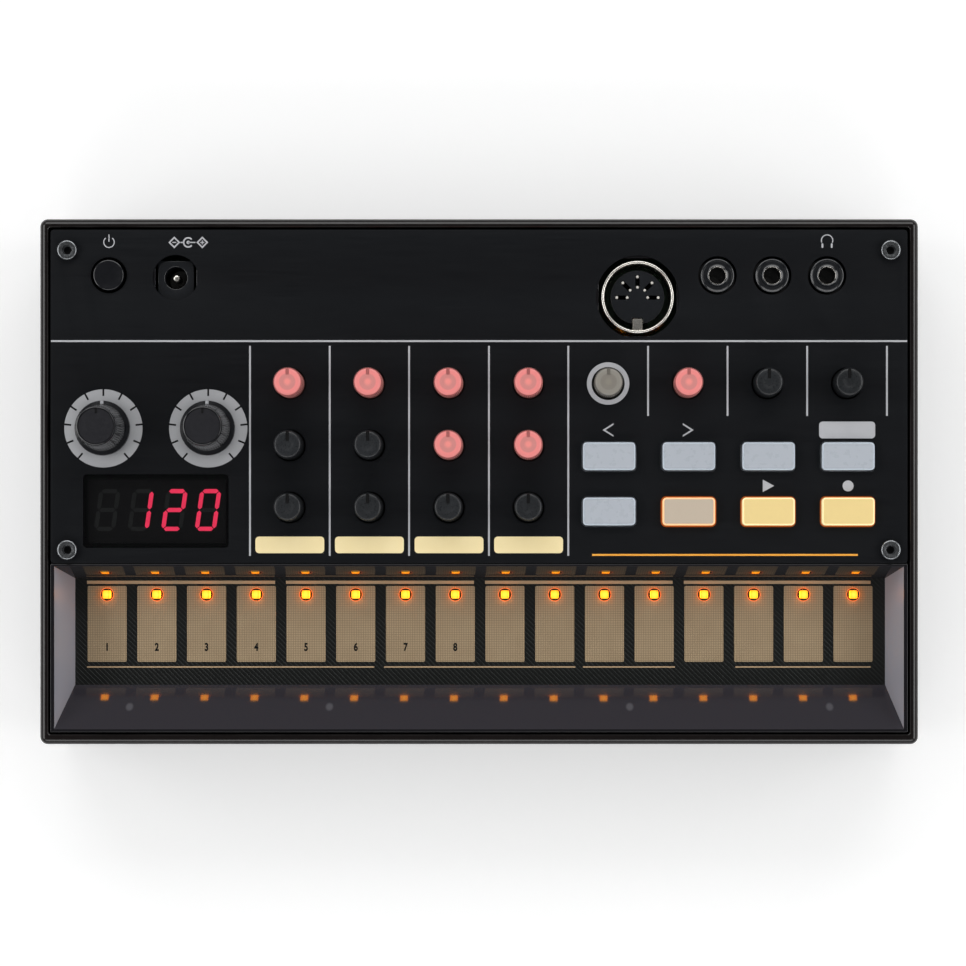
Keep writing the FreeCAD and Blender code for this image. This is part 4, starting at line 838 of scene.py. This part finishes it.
signs += [[bar_loop((-65.5, SIGN_Y), (-64.95, SIGN_Y), 0.26)],
          [arc_loop((-63.8, SIGN_Y), 1.0, 0.34, 40, 320)],
          [bar_loop((-63.75, SIGN_Y), (-62.2, SIGN_Y), 0.26)], [round_loop((-63.8, SIGN_Y), 0.38, 20)]]
head = (headphone[0], 52.5)
signs.append([arc_loop((head[0], head[1] + 0.35), 1.25, FINE_LINE, -20, 200)])
signs += [[corner_loop((head[0] + side * 1.02, head[1] - 0.75), 0.4, 1.0, 0.18)] for side in (-1, 1)]
printed("panel_signs", signs, ink_grey)
print("printed plates:", len(lines) + len(bars) + len(signs))

# %% [markdown]
# ## A Geometry Nodes tree that places things round an axis
# Scale ticks, knurls and grip ribs all repeat round an axis. The tree makes one small block, places its
# copies by angle and turns each to face outwards. Its inputs are the sizes, and it ends in Realize
# Instances and Set Material so that the export keeps every copy.

# %% Ring tree
def new_tree(name, sockets):
    tree = bpy.data.node_groups.new(name, "GeometryNodeTree")
    tree.interface.new_socket("Geometry", in_out="OUTPUT", socket_type="NodeSocketGeometry")
    for label, kind in sockets:
        tree.interface.new_socket(label, in_out="INPUT", socket_type=kind)
    return tree, add(tree, "NodeGroupInput")


def end_tree(tree, start, node, output=0):
    real = add(tree, "GeometryNodeRealizeInstances", {0: (node, output)})
    coated = add(tree, "GeometryNodeSetMaterial", {"Geometry": (real, 0), "Material": (start, "Material")})
    add(tree, "NodeGroupOutput", {0: (coated, 0)})


def grown(name, tree, values):
    # Runs the tree once and returns its result as a plain mesh.
    item = bpy.data.objects.new(name, bpy.data.meshes.new(name))
    run = item.modifiers.new("grow", "NODES")
    run.node_group = tree
    for socket in tree.interface.items_tree:
        if socket.in_out == "INPUT" and socket.name in values:
            run[socket.identifier] = values[socket.name]
    mesh = plain_mesh(item)
    bm = bmesh.new()
    bm.from_mesh(mesh)
    return mesh_of(bm, name, smooth=30)


LENGTH, COUNT, SIZE = "NodeSocketFloat", "NodeSocketInt", "NodeSocketVector"
ring_tree, start = new_tree("blocks_round_an_axis", [
    ("Count", COUNT), ("Radius", LENGTH), ("Start", LENGTH), ("Step", LENGTH), ("Block", SIZE),
    ("Place", SIZE), ("Lean", LENGTH), ("Material", "NodeSocketMaterial")])
points = add(ring_tree, "GeometryNodePoints", {"Count": (start, "Count")})
index = add(ring_tree, "GeometryNodeInputIndex")
angle = add(ring_tree, "ShaderNodeMath", {0: (index, 0), 1: (start, "Step"), 2: (start, "Start")},
            operation="MULTIPLY_ADD")
x_share = add(ring_tree, "ShaderNodeMath", {0: (angle, 0)}, operation="COSINE")
y_share = add(ring_tree, "ShaderNodeMath", {0: (angle, 0)}, operation="SINE")
outwards = add(ring_tree, "ShaderNodeCombineXYZ", {"X": (x_share, 0), "Y": (y_share, 0)})
spread = add(ring_tree, "ShaderNodeVectorMath", {0: (outwards, 0), "Scale": (start, "Radius")},
             operation="SCALE")
where = add(ring_tree, "ShaderNodeVectorMath", {0: (spread, 0), 1: (start, "Place")}, operation="ADD")
placed = add(ring_tree, "GeometryNodeSetPosition", {"Geometry": (points, 0), "Position": (where, 0)})
block = add(ring_tree, "GeometryNodeMeshCube", {"Size": (start, "Block")})
turn = add(ring_tree, "ShaderNodeCombineXYZ", {"Y": (start, "Lean"), "Z": (angle, 0)})
copies = add(ring_tree, "GeometryNodeInstanceOnPoints", {"Points": (placed, 0), "Instance": (block, 0),
                                                        "Rotation": (turn, 0)})
end_tree(ring_tree, start, copies)


def ring_of_blocks(name, place, radius, count, size, z, turns, material, lean=0.0):
    # The turns are the first block's angle and the step to the next, in degrees.
    return grown(name, ring_tree, {
        "Count": count, "Radius": radius * MM, "Start": math.radians(turns[0]),
        "Step": math.radians(turns[1]), "Block": tuple(side * MM for side in size),
        "Place": (place[0] * MM, place[1] * MM, z * MM), "Lean": math.radians(lean), "Material": material})


print("ring tree nodes:", len(ring_tree.nodes))

# %% [markdown]
# ## Scales round the large knobs
# Each large knob turns over a printed grey ring with eleven black ticks, one every 28 degrees from the
# lower left round to the lower right. The ring is one plate with a hole, and the ring tree lays the ticks.

# %% Scales
TICK_COUNT = 11
TICK_STEP = 28
for name in LARGE:
    place = centre(f"{name}_knob")
    printed(f"{name}_scale", [[round_loop(place, 8.58, 96), round_loop(place, 5.6, 72)]], ink_ring)
    first = 90 - TICK_STEP * (TICK_COUNT - 1) / 2
    ticks = ring_of_blocks(f"{name}_ticks", place, 7.85, TICK_COUNT, (1.5, 0.4, 0.02), PANEL_TOP + INK + 0.01,
                           (first, TICK_STEP), black_ink_and_shade)
    piece(f"{name}_ticks", ticks, "chassis", black_ink_and_shade)
print("ticks on each scale:", TICK_COUNT)

# %% [markdown]
# ## Small knobs
# Each is the moulded end of a pot shaft: a straight grip with fine ribs, a slightly smaller top with a
# rounded edge, and a slot that ends at the rim and points at the setting. The grip is a turned profile,
# and the slot is cut out with a Boolean. The ring tree grows the ribs.

# %% Small knobs
def with_slot(mesh, place, length, width, depth, start, face):
    # The slot runs inwards at twelve o'clock from a given distance off the axis.
    body = bpy.data.objects.new("slotted", mesh)
    cutter = bpy.data.objects.new("slot_cutter", plate("slot_cutter", [[corner_loop(
        (place[0], place[1] + start - length / 2), width, length, 0.1)]], face - depth, face + 1))
    bpy.context.scene.collection.objects.link(cutter)
    cut = body.modifiers.new("cut", "BOOLEAN")
    cut.operation = "DIFFERENCE"
    cut.solver = "EXACT"
    cut.object = cutter
    mesh = plain_mesh(body)
    bpy.data.objects.remove(cutter)
    bm = bmesh.new()
    bm.from_mesh(mesh)
    return mesh_of(bm, "slotted", smooth=35)


def join(meshes, name):
    bm = bmesh.new()
    for mesh in meshes:
        bm.from_mesh(mesh)
    return mesh_of(bm, name)


KNOB_TOP, KNOB_FOOT = top("kick_1_knob"), bottom("kick_1_knob")
SHOULDER = KNOB_TOP - 10.4
GRIP_RADIUS = 3.0
RIB_COUNT = 48
RIB_HEIGHT = 7.6
# Each finish has its plastic, the painted shade in its slot and the slot's length.
KINDS = {"lit_knob": (lit_knob, red_slot, 1.3), "clear_knob": (clear_knob, grey_slot, 1.3),
         "black_knob": (knob_black, black_ink_and_shade, 2.1)}
for name in SMALL:
    place = centre(f"{name}_knob")
    finish = "lit_knob" if name in LIT else "clear_knob" if name in CLEAR else "black_knob"
    material, shade, reach = KINDS[finish]
    grip = turned(f"{name}_grip", place, [
        (0, KNOB_FOOT), (1.2, KNOB_FOOT), (1.2, SHOULDER), (2.9, SHOULDER), (GRIP_RADIUS, SHOULDER + 0.2),
        (GRIP_RADIUS, KNOB_TOP - 1.0), (2.95, KNOB_TOP - 0.55), (2.9, KNOB_TOP - 0.28),
        (2.78, KNOB_TOP - 0.1), (2.6, KNOB_TOP), (1.3, KNOB_TOP), (1.15, KNOB_TOP - 0.06),
        (0, KNOB_TOP - 0.06)])
    grip = with_slot(grip, place, reach, 0.74, 0.4, 2.84, KNOB_TOP)
    ribs = ring_of_blocks(f"{name}_ribs", place, GRIP_RADIUS, RIB_COUNT, (0.28, 0.2, RIB_HEIGHT),
                          KNOB_TOP - 1.0 - RIB_HEIGHT / 2, (180 / RIB_COUNT, 360 / RIB_COUNT), material)
    piece(f"{name}_cap", join([grip, ribs], name), name, material, [f"{name}_knob"])
    # The plate in the slot is painted shade for the recess.
    inlay = corner_loop((place[0], place[1] + 2.8 - reach / 2), 0.66, reach - 0.08, 0.1)
    fill = plate(f"{name}_slot", [[inlay]], KNOB_TOP - 0.45, KNOB_TOP - 0.15)
    piece(f"{name}_slot", fill, name, shade)
print("small knobs:", len(SMALL))

# %% [markdown]
# ## Large knobs
# A large knob has a wide skirt, a fluted cone that is easy to grip, and a dished top with a satin insert.
# A pale mark on the skirt and a dark inlay in the top both point at the setting.

# %% Large knobs
LARGE_TOP, LARGE_FOOT = top("echo_rate_knob"), bottom("echo_rate_knob")
FLUTE_COUNT = 60
for name in LARGE:
    place = centre(f"{name}_knob")
    body = turned(f"{name}_body", place, [
        (0, LARGE_FOOT + 0.4), (5.2, LARGE_FOOT + 0.4), (5.3, LARGE_FOOT), (5.9, LARGE_FOOT),
        (6.0, LARGE_FOOT + 0.15), (6.0, LARGE_FOOT + 1.5), (5.85, LARGE_FOOT + 1.75), (5.3, LARGE_FOOT + 1.9),
        (5.1, LARGE_FOOT + 2.3), (4.35, LARGE_TOP - 0.9), (4.3, LARGE_TOP - 0.4), (4.27, LARGE_TOP - 0.18),
        (4.18, LARGE_TOP - 0.04), (4.08, LARGE_TOP), (3.99, LARGE_TOP - 0.05), (3.94, LARGE_TOP - 0.22),
        (3.92, LARGE_TOP - 0.5), (0, LARGE_TOP - 0.5)], 96)
    lean = -math.degrees(math.atan2(0.75, LARGE_TOP - LARGE_FOOT - 3.2))
    flutes = ring_of_blocks(f"{name}_flutes", place, 4.7, FLUTE_COUNT, (0.2, 0.22, 7.0),
                            (LARGE_TOP + LARGE_FOOT) / 2 + 0.75,
                            (180 / FLUTE_COUNT, 360 / FLUTE_COUNT), knob_gloss, lean)
    piece(f"{name}_cap", join([body, flutes], name), name, knob_gloss, [f"{name}_knob"])
    insert = turned(f"{name}_insert", place, [
        (0, LARGE_TOP - 0.55), (3.9, LARGE_TOP - 0.55), (3.9, LARGE_TOP - 0.32), (3.84, LARGE_TOP - 0.26),
        (0, LARGE_TOP - 0.22)], 72)
    piece(f"{name}_insert", insert, name, knob_insert)
    on_skirt = corner_loop((place[0], place[1] + 5.55), 0.7, 0.8, 0.12)
    mark = plate(f"{name}_mark", [[on_skirt]], LARGE_FOOT + 1.5, LARGE_FOOT + 1.98)
    piece(f"{name}_mark", mark, name, ink_grey)
    on_top = corner_loop((place[0], place[1] + 3.35), 0.45, 1.3, 0.1)
    pointer = plate(f"{name}_pointer", [[on_top]], LARGE_TOP - 0.5, LARGE_TOP - 0.18)
    piece(f"{name}_pointer", pointer, name, black_ink_and_shade)
print("large knobs:", len(LARGE))

# %% [markdown]
# ## Push buttons
# A button is a clear or tinted cap in a square hole, with a soft edge all round its face. The caps that
# are lit glow evenly, and the light also escapes round them as an orange line. That line is the flange
# under the cap, which is wider than the hole, so it is its own piece and glows orange where the cap is lit.

# %% Buttons
CAP_TOP = top("play_button")
FLANGE_TOP = PANEL_TOP - 1.3
FLANGE_FOOT = FLANGE_TOP - 1.0
# Width, depth and corner radius of each outline
FACE, RIM_OF_CAP, FLANGE, PLUNGER = (10.8, 5.4, 0.5), (11.5, 6.1, 0.85), (13.4, 7.9, 0.6), (5.0, 3.0, 0.3)
HOT = {"step": (warm_button, warm_edge), "loop": (lit_button, lit_edge), "shift": (lit_button, lit_edge)}
for name in BUTTONS:
    place = cap_place(name)
    face, edge_light = HOT.get(name, (dull_button, dull_edge_highlight))
    cap = plate(f"{name}_cap", [[corner_loop(place, *FACE)]], FLANGE_TOP - 0.05, CAP_TOP - 0.02)
    piece(f"{name}_cap", cap, name, face, [f"{name}_button"])
    # The edge ring glows on the lit caps and carries a painted highlight on the unlit ones.
    edge = plate(f"{name}_edge", [[corner_loop(place, *RIM_OF_CAP), corner_loop(place, *FACE)]],
                 FLANGE_TOP - 0.05, CAP_TOP, 0.12)
    piece(f"{name}_edge", edge, name, edge_light)
    flange = plate(f"{name}_flange", [[corner_loop(place, *FLANGE)]], FLANGE_FOOT, FLANGE_TOP, 0.1)
    piece(f"{name}_flange", flange, name, button_glow if name in HOT else dull_button)
    plunger = plate(f"{name}_plunger", [[corner_loop(place, *PLUNGER)]], bottom(f"{name}_button"),
                    FLANGE_FOOT, 0.1)
    piece(f"{name}_plunger", plunger, name, dull_button)
print("buttons:", len(BUTTONS))

# %% [markdown]
# ## Display
# The lens is smoked plastic, glossy, over a block of four seven segment digits. Each digit leans 8
# degrees and has seven slim segments with pointed ends. A list of which segments shine gives the number,
# here a tempo of 120, and the unlit segments stay as grey shapes.

# %% Display
DIGIT_LEAN = 8
DIGIT_PITCH = 7.4
DIGIT_ROW_Y = -6.2
LAST_DIGIT_X = -59.68
SEGMENT_GAP = 0.12
DIGIT_THICKNESS = 0.06


def segment(place, start, end, width):
    along = (Vector(end) - Vector(start)).normalized()
    side = Vector((-along.y, along.x)) * width / 2
    tip = along * width / 2
    a, b = Vector(start), Vector(end)
    corners = [a, a + tip + side, b - tip + side, b, b - tip - side, a + tip - side]
    lean = math.tan(math.radians(DIGIT_LEAN))
    return [(place[0] + c.x + c.y * lean, place[1] + c.y) for c in corners]


DIGIT_W, DIGIT_H, BAR = 3.75, 8.3, 0.92
left, right, high, low_end = -DIGIT_W / 2, DIGIT_W / 2, DIGIT_H / 2, -DIGIT_H / 2
SEGMENTS = {"a": ((left, high), (right, high)), "b": ((right, high), (right, 0)),
            "c": ((right, 0), (right, low_end)), "d": ((left, low_end), (right, low_end)),
            "e": ((left, 0), (left, low_end)), "f": ((left, high), (left, 0)), "g": ((left, 0), (right, 0))}
SHOWN = ["", "bc", "abged", "abcdef"]
DIGIT_X = [LAST_DIGIT_X - DIGIT_PITCH * step for step in (3, 2, 1, 0)]
digit_z = top("display_module")
lit_shapes, dark_shapes = [], []
for x, shown in zip(DIGIT_X, SHOWN):
    for letter, (start_at, end_at) in SEGMENTS.items():
        step = (Vector(end_at) - Vector(start_at)).normalized() * SEGMENT_GAP
        shape = segment((x, DIGIT_ROW_Y), Vector(start_at) + step, Vector(end_at) - step, BAR)
        (lit_shapes if letter in shown else dark_shapes).append([shape])
for name, shapes, material in (("digits_lit", lit_shapes, segment_on),
                               ("digits_unlit", dark_shapes, segment_off)):
    piece(name, plate(name, shapes, digit_z, digit_z + DIGIT_THICKNESS), "chassis", material)


def lens_material():
    material, tree, shader = surface("smoked_acrylic_lens", "#0b0b0d", Roughness=0.05, IOR=1.49, Alpha=0.35)
    where = place_in_mm(tree)
    cloud = add(tree, "ShaderNodeTexNoise", {"Vector": (where, 0), "Scale": 1 / 9.0, "Detail": 2.0})
    feed(tree, shader, {"Alpha": ranged(tree, (cloud, "Fac"), 0.3, 0.7, 0.33, 0.37)})
    return material


smoked_lens = lens_material()
lens = plate("display_lens", [[corner_loop(WINDOW, 31.7, 15.9, 0.7)]], top("display_module") + 0.08,
             top("display_window"), 0.12)
piece("display_lens", lens, "chassis", smoked_lens, ["display_window"])
print("segments lit:", len(lit_shapes), "unlit:", len(dark_shapes))

# %% [markdown]
# ## Touch pads and their lamps
# Sixteen gold pads stand in a row, each with rounded corners and a round hole near its far end, where an
# amber lamp shines up through the bare laminate. One pad is a rectangle with its corners filleted and a
# circle inside it, filled and drawn up. The tree places it at even steps along X.

# %% Pad row
pad_tree, start = new_tree("row_of_pads", [
    ("Count", COUNT), ("First", SIZE), ("Step", SIZE), ("Width", LENGTH), ("Depth", LENGTH),
    ("Corner", LENGTH), ("Hole Radius", LENGTH), ("Hole Place", SIZE), ("Thickness", LENGTH),
    ("Material", "NodeSocketMaterial")])
line = add(pad_tree, "GeometryNodeMeshLine", {"Count": (start, "Count"), "Start Location": (start, "First"),
                                              "Offset": (start, "Step")})
edge = add(pad_tree, "GeometryNodeCurvePrimitiveQuadrilateral", {"Width": (start, "Width"),
                                                                 "Height": (start, "Depth")})
rounded = add(pad_tree, "GeometryNodeFilletCurve", {"Curve": (edge, 0), "Radius": (start, "Corner")})
rounded.mode = "POLY"
rounded.inputs["Count"].default_value = 4
hole = add(pad_tree, "GeometryNodeCurvePrimitiveCircle", {"Radius": (start, "Hole Radius")})
hole.inputs["Resolution"].default_value = 32
moved = add(pad_tree, "GeometryNodeTransform", {"Geometry": (hole, 0), "Translation": (start, "Hole Place")})
both = add(pad_tree, "GeometryNodeJoinGeometry")
pad_tree.links.new(rounded.outputs[0], both.inputs[0])
pad_tree.links.new(moved.outputs[0], both.inputs[0])
filled = add(pad_tree, "GeometryNodeFillCurve", {0: (both, 0)})
raised = add(pad_tree, "GeometryNodeExtrudeMesh", {"Mesh": (filled, 0), "Offset Scale": (start, "Thickness")})
raised.inputs["Individual"].default_value = False
under = add(pad_tree, "GeometryNodeFlipFaces", {0: (filled, 0)})
closed = add(pad_tree, "GeometryNodeJoinGeometry")
pad_tree.links.new(raised.outputs[0], closed.inputs[0])
pad_tree.links.new(under.outputs[0], closed.inputs[0])
pads = add(pad_tree, "GeometryNodeInstanceOnPoints", {"Points": (line, 0), "Instance": (closed, 0)})
end_tree(pad_tree, start, pads)

pad_low, pad_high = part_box("touch_pads")
BOARD_TOP = pad_low.z / MM
PAD_WIDTH = 8.7
PAD_PITCH = ((pad_high.x - pad_low.x) / MM - PAD_WIDTH) / (PAD_COUNT - 1)
PAD_DEPTH = (pad_high.y - pad_low.y) / MM
FIRST_PAD = (pad_low.x / MM + PAD_WIDTH / 2, (pad_low.y + pad_high.y) / 2 / MM)
PAD_THICKNESS = 0.15
PAD_FACE = BOARD_TOP + PAD_THICKNESS
CHIP_HEIGHT = 1.4
row = grown("gold_pads", pad_tree, {
    "Count": PAD_COUNT, "First": (FIRST_PAD[0] * MM, FIRST_PAD[1] * MM, BOARD_TOP * MM),
    "Step": (PAD_PITCH * MM, 0, 0), "Width": PAD_WIDTH * MM, "Depth": PAD_DEPTH * MM, "Corner": 0.35 * MM,
    "Hole Radius": 1.45 * MM, "Hole Place": (0, (LAMP_Y - FIRST_PAD[1]) * MM, 0),
    "Thickness": PAD_THICKNESS * MM, "Material": gold_pad})
piece("gold_pads", row, "chassis", gold_pad, ["touch_pads"])
rings = [[round_loop(place, 1.54, 40), round_loop(place, 1.38, 40)] for place in lamps]
piece("lamp_rings", plate("lamp_rings", rings, PAD_FACE, BOARD_TOP + 0.2), "chassis", lamp_ring)
chips = [[corner_loop(place, 1.7, 1.7, 0.25, 3)] for place in lamps]
piece("lamp_chips", plate("lamp_chips", chips, BOARD_TOP, BOARD_TOP + CHIP_HEIGHT, 0.2), "chassis",
      lamp_amber, ["pad_leds"])
print("pads:", PAD_COUNT, "pitch", round(PAD_PITCH, 2))

# %% [markdown]
# ## Legend on the touch board
# Gold bars group the pads, thin lines run below them, and plain numbers mark the first eight. Numbers are
# text curves, narrowed as a condensed face is, turned into a mesh and laid on the pads.

# %% Board legend
BARS_Y, BAR_WIDTH = -22.13, 0.72
BAR_ENDS = ((-87.6, -45.7), (-43.26, -1.38), (1.1, 42.9), (45.4, 87.0))
LINES_Y, LINE_WIDTH = -41.0, 0.3
LINE_ENDS = ((-87.6, -23.6), (-21.4, 21.2), (22.9, 43.4), (56.9, 87.0))
NUMBER_COUNT = 8
NUMBERS_Y = -36.5
for name, ends, y, width in (("group_bars", BAR_ENDS, BARS_Y, BAR_WIDTH),
                             ("group_lines", LINE_ENDS, LINES_Y, LINE_WIDTH)):
    strips = [[bar_loop((low, y), (high, y), width)] for low, high in ends]
    piece(name, plate(name, strips, BOARD_TOP, BOARD_TOP + INK), "chassis", ink_gold)


def number_mesh(text, place, height, squeeze, base, thick):
    data = bpy.data.curves.new("number", "FONT")
    data.body = text
    data.size = height * 1.4 * MM
    data.align_x = "CENTER"
    data.extrude = thick / 2 * MM
    data.offset = 0.09 * MM
    mesh = plain_mesh(data)
    mesh.transform(Matrix.Diagonal((squeeze, 1, 1, 1)))
    mesh.transform(Matrix.Translation((place[0] * MM, (place[1] - height / 2) * MM, (base + thick / 2) * MM)))
    return mesh


numbers = [number_mesh(str(i + 1), (lamps[i][0], NUMBERS_Y), 1.7, 0.75, PAD_FACE, 0.02)
           for i in range(NUMBER_COUNT)]
piece("pad_numbers", join(numbers, "pad_numbers"), "chassis", black_ink_and_shade)
print("numbers:", len(numbers))

# %% [markdown]
# ## DIN socket
# A plated tube with a rolled rim, the brightest metal on the panel, stands round a black core with five
# slots, and a contact of two leaves sits in each slot. The rim is a turned profile with a real radius,
# because a sharp rim would show no light line.

# %% DIN socket
din_top, din_foot = top("din_shell"), bottom("din_shell")
DIN_BORE, DIN_OUTER = 7.3, 8.0
ROLL = (DIN_OUTER - DIN_BORE) / 2
CONTACT_CIRCLE = 3.4
arc = [math.pi * i / 8 for i in range(9)]
rolled = [(DIN_BORE + ROLL + ROLL * math.cos(a), din_top - ROLL + ROLL * math.sin(a)) for a in arc]
shell = turned("din_rim", DIN, [(DIN_BORE, din_foot), (DIN_OUTER, din_foot)] + rolled, 96, closed=True)
key_shape = corner_loop((DIN[0], DIN[1] - 6.1), 2.1, 2.7, 0.25)
key = plate("din_key", [[key_shape]], din_foot + 1, din_top - 0.9, 0.12)
piece("din_rim", join([shell, key], "din_rim"), "chassis", nickel, ["din_shell"])
core_top = top("din_core")
angles = [math.pi * i / 4 for i in range(5)]
contacts = [(DIN[0] + CONTACT_CIRCLE * math.cos(a), DIN[1] + CONTACT_CIRCLE * math.sin(a)) for a in angles]


def slot_loop(place, angle, length, width):
    along = Vector((math.cos(angle), math.sin(angle))) * length / 2
    return bar_loop((place[0] - along.x, place[1] - along.y), (place[0] + along.x, place[1] + along.y), width)


def notched_loop(place, radius, width, depth, steps=64):
    half = math.asin(width / 2 / radius)
    spread = 2 * math.pi - 2 * half
    rim = [(place[0] + radius * math.cos(a), place[1] + radius * math.sin(a)) for a in
           (-math.pi / 2 + half + spread * i / steps for i in range(steps + 1))]
    foot = place[1] - radius + depth
    return rim + [(place[0] - width / 2, foot), (place[0] + width / 2, foot)]


core_shape = [notched_loop(DIN, 5.9, 2.5, 1.4)]
core_shape += [slot_loop(place, a, 2.9, 0.9) for place, a in zip(contacts, angles)]
core = plate("din_core_moulding", [core_shape], bottom("din_core"), core_top, 0.1)
piece("din_core_moulding", core, "chassis", socket_black, ["din_core"])
leaves = [[round_loop((x + reach * math.cos(a), y + reach * math.sin(a)), 0.3, 16)]
          for (x, y), a in zip(contacts, angles) for reach in (-1.15, 1.15)]
piece("din_leaves", plate("din_leaves", leaves, core_top - 7, core_top + 0.05, 0.14), "chassis", tin_plate,
      ["din_contacts"])
print("DIN contacts:", len(leaves))

# %% [markdown]
# ## Jacks, inlet pin and power button
# A jack has a turned collar, a shallow groove and a plated bush inside, on a moulded body. The inlet's pin
# and the power button are turned pieces too, the pin with a rounded end and the button with a slightly
# dished top.

# %% Jacks, inlet pin and power button
def jack(name, place):
    z, foot = top("headphone_jack"), bottom("headphone_jack")
    return turned(name, place, [
        (1.8, z - 12), (4.4, z - 12), (4.4, z - 4.5), (3.75, z - 4.5), (3.75, z - 0.35), (3.7, z - 0.18),
        (3.6, z - 0.05), (3.45, z), (3.3, z - 0.05), (3.2, z - 0.2), (3.1, z - 0.42), (2.5, z - 0.45),
        (2.4, z - 0.3), (2.3, z - 0.14), (2.15, z - 0.08), (2.0, z - 0.16), (1.88, z - 0.4), (1.8, z - 0.9)],
        72, closed=True)


def jack_base(name, place):
    low, high = bottom("headphone_jack"), top("headphone_jack") - 12
    return plate(name, [[corner_loop(place, JACK_BODY, JACK_BODY, 0.3)]], low, high)


for name, node, places in (("sync_jack_collars", "sync_jacks", JACKS[:2]),
                           ("headphone_jack_collar", "headphone_jack", JACKS[2:])):
    shells = [jack("collar", place) for place in places] + [jack_base("base", place) for place in places]
    piece(name, join(shells, name), "chassis", socket_black, [node])
bush_z = top("headphone_jack")
bush_profile = [(1.78, bush_z - 1.5), (1.95, bush_z - 1.5), (1.95, bush_z - 0.34), (1.93, bush_z - 0.28),
                (1.9, bush_z - 0.3), (1.78, bush_z - 0.7)]
bushes = [turned("bush", place, bush_profile, 64, closed=True) for place in JACKS]
piece("jack_bushes", join(bushes, "jack_bushes"), "chassis", nickel)
pin_top, pin_foot = top("dc_pin"), bottom("dc_pin")
pin = turned("inlet_pin", DC, [(0, pin_foot), (0.85, pin_foot), (0.85, pin_top - 0.5), (0.6, pin_top - 0.12),
                               (0.25, pin_top), (0, pin_top)], 32)
piece("inlet_pin", pin, "chassis", nickel, ["dc_pin"])
power_top, power_foot = top("power_button"), bottom("power_button")
push = turned("power_push", POWER, [
    (0, power_foot), (1.5, power_foot), (1.5, power_top - 5), (3.35, power_top - 5), (3.35, power_top - 0.35),
    (3.28, power_top - 0.12), (3.1, power_top), (2.9, power_top), (2.7, power_top - 0.08),
    (0, power_top - 0.14)], 72)
piece("power_push", push, "power", knob_gloss, ["power_button"])
print("jacks:", len(JACKS))

# %% [markdown]
# ## Socket head screws
# Four blackened screws hold the panel. Each is a turned head with a rounded shoulder and a hexagon sunk in
# it. The socket's walls follow the hexagon with as many points as the round rim has, so the two join face
# to face, and a dark plate at its floor stands for the shade down there.

# %% Panel screws
SOCKET_MOUTH = 1.45
HEX_INNER = 1.0
CHAMFER_DEPTH, SOCKET_DEPTH = 0.1, 1.5


def screw(place):
    bm = bmesh.new()
    z = top("panel_screws")
    foot = bottom("panel_screws")
    add_turned(bm, place, [
        (0, foot), (1.25, foot), (1.25, PANEL_TOP), (2.1, PANEL_TOP), (2.2, PANEL_TOP + 0.12),
        (2.2, z - 0.45), (2.15, z - 0.22), (2.03, z - 0.06), (1.85, z), (SOCKET_MOUTH, z - 0.04)], 48)

    def from_axis(vert):
        return Vector((vert.co.x / MM - place[0], vert.co.y / MM - place[1]))

    rim = [vert for vert in bm.verts if abs(vert.co.z - (z - 0.04) * MM) < 1e-7
           and abs(from_axis(vert).length - SOCKET_MOUTH) < 0.01]
    rim.sort(key=lambda vert: math.atan2(from_axis(vert).y, from_axis(vert).x))
    loops = [rim]
    for depth in (CHAMFER_DEPTH, SOCKET_DEPTH):
        loop = []
        for vert in rim:
            angle = math.atan2(from_axis(vert).y, from_axis(vert).x)
            reach = HEX_INNER / math.cos(angle % (math.pi / 3) - math.pi / 6)
            loop.append(bm.verts.new(((place[0] + reach * math.cos(angle)) * MM,
                                      (place[1] + reach * math.sin(angle)) * MM, (z - depth) * MM)))
        loops.append(loop)
    for outer, sunk in zip(loops, loops[1:]):
        for i in range(len(outer)):
            bm.faces.new((outer[i - 1], outer[i], sunk[i], sunk[i - 1]))
    bm.faces.new(loops[-1])
    return mesh_of(bm, "screw", smooth=25)


heads = join([screw(place) for place in SCREWS], "screws")
piece("panel_screw_heads", heads, "chassis", zinc_black, ["panel_screws"])
floors = [[round_loop(place, 0.85, 24)] for place in SCREWS]
floor_z = top("panel_screws") - SOCKET_DEPTH
piece("screw_socket_floors", plate("screw_socket_floors", floors, floor_z - 0.05, floor_z + 0.15), "chassis",
      black_ink_and_shade)
print("panel screws:", len(SCREWS))
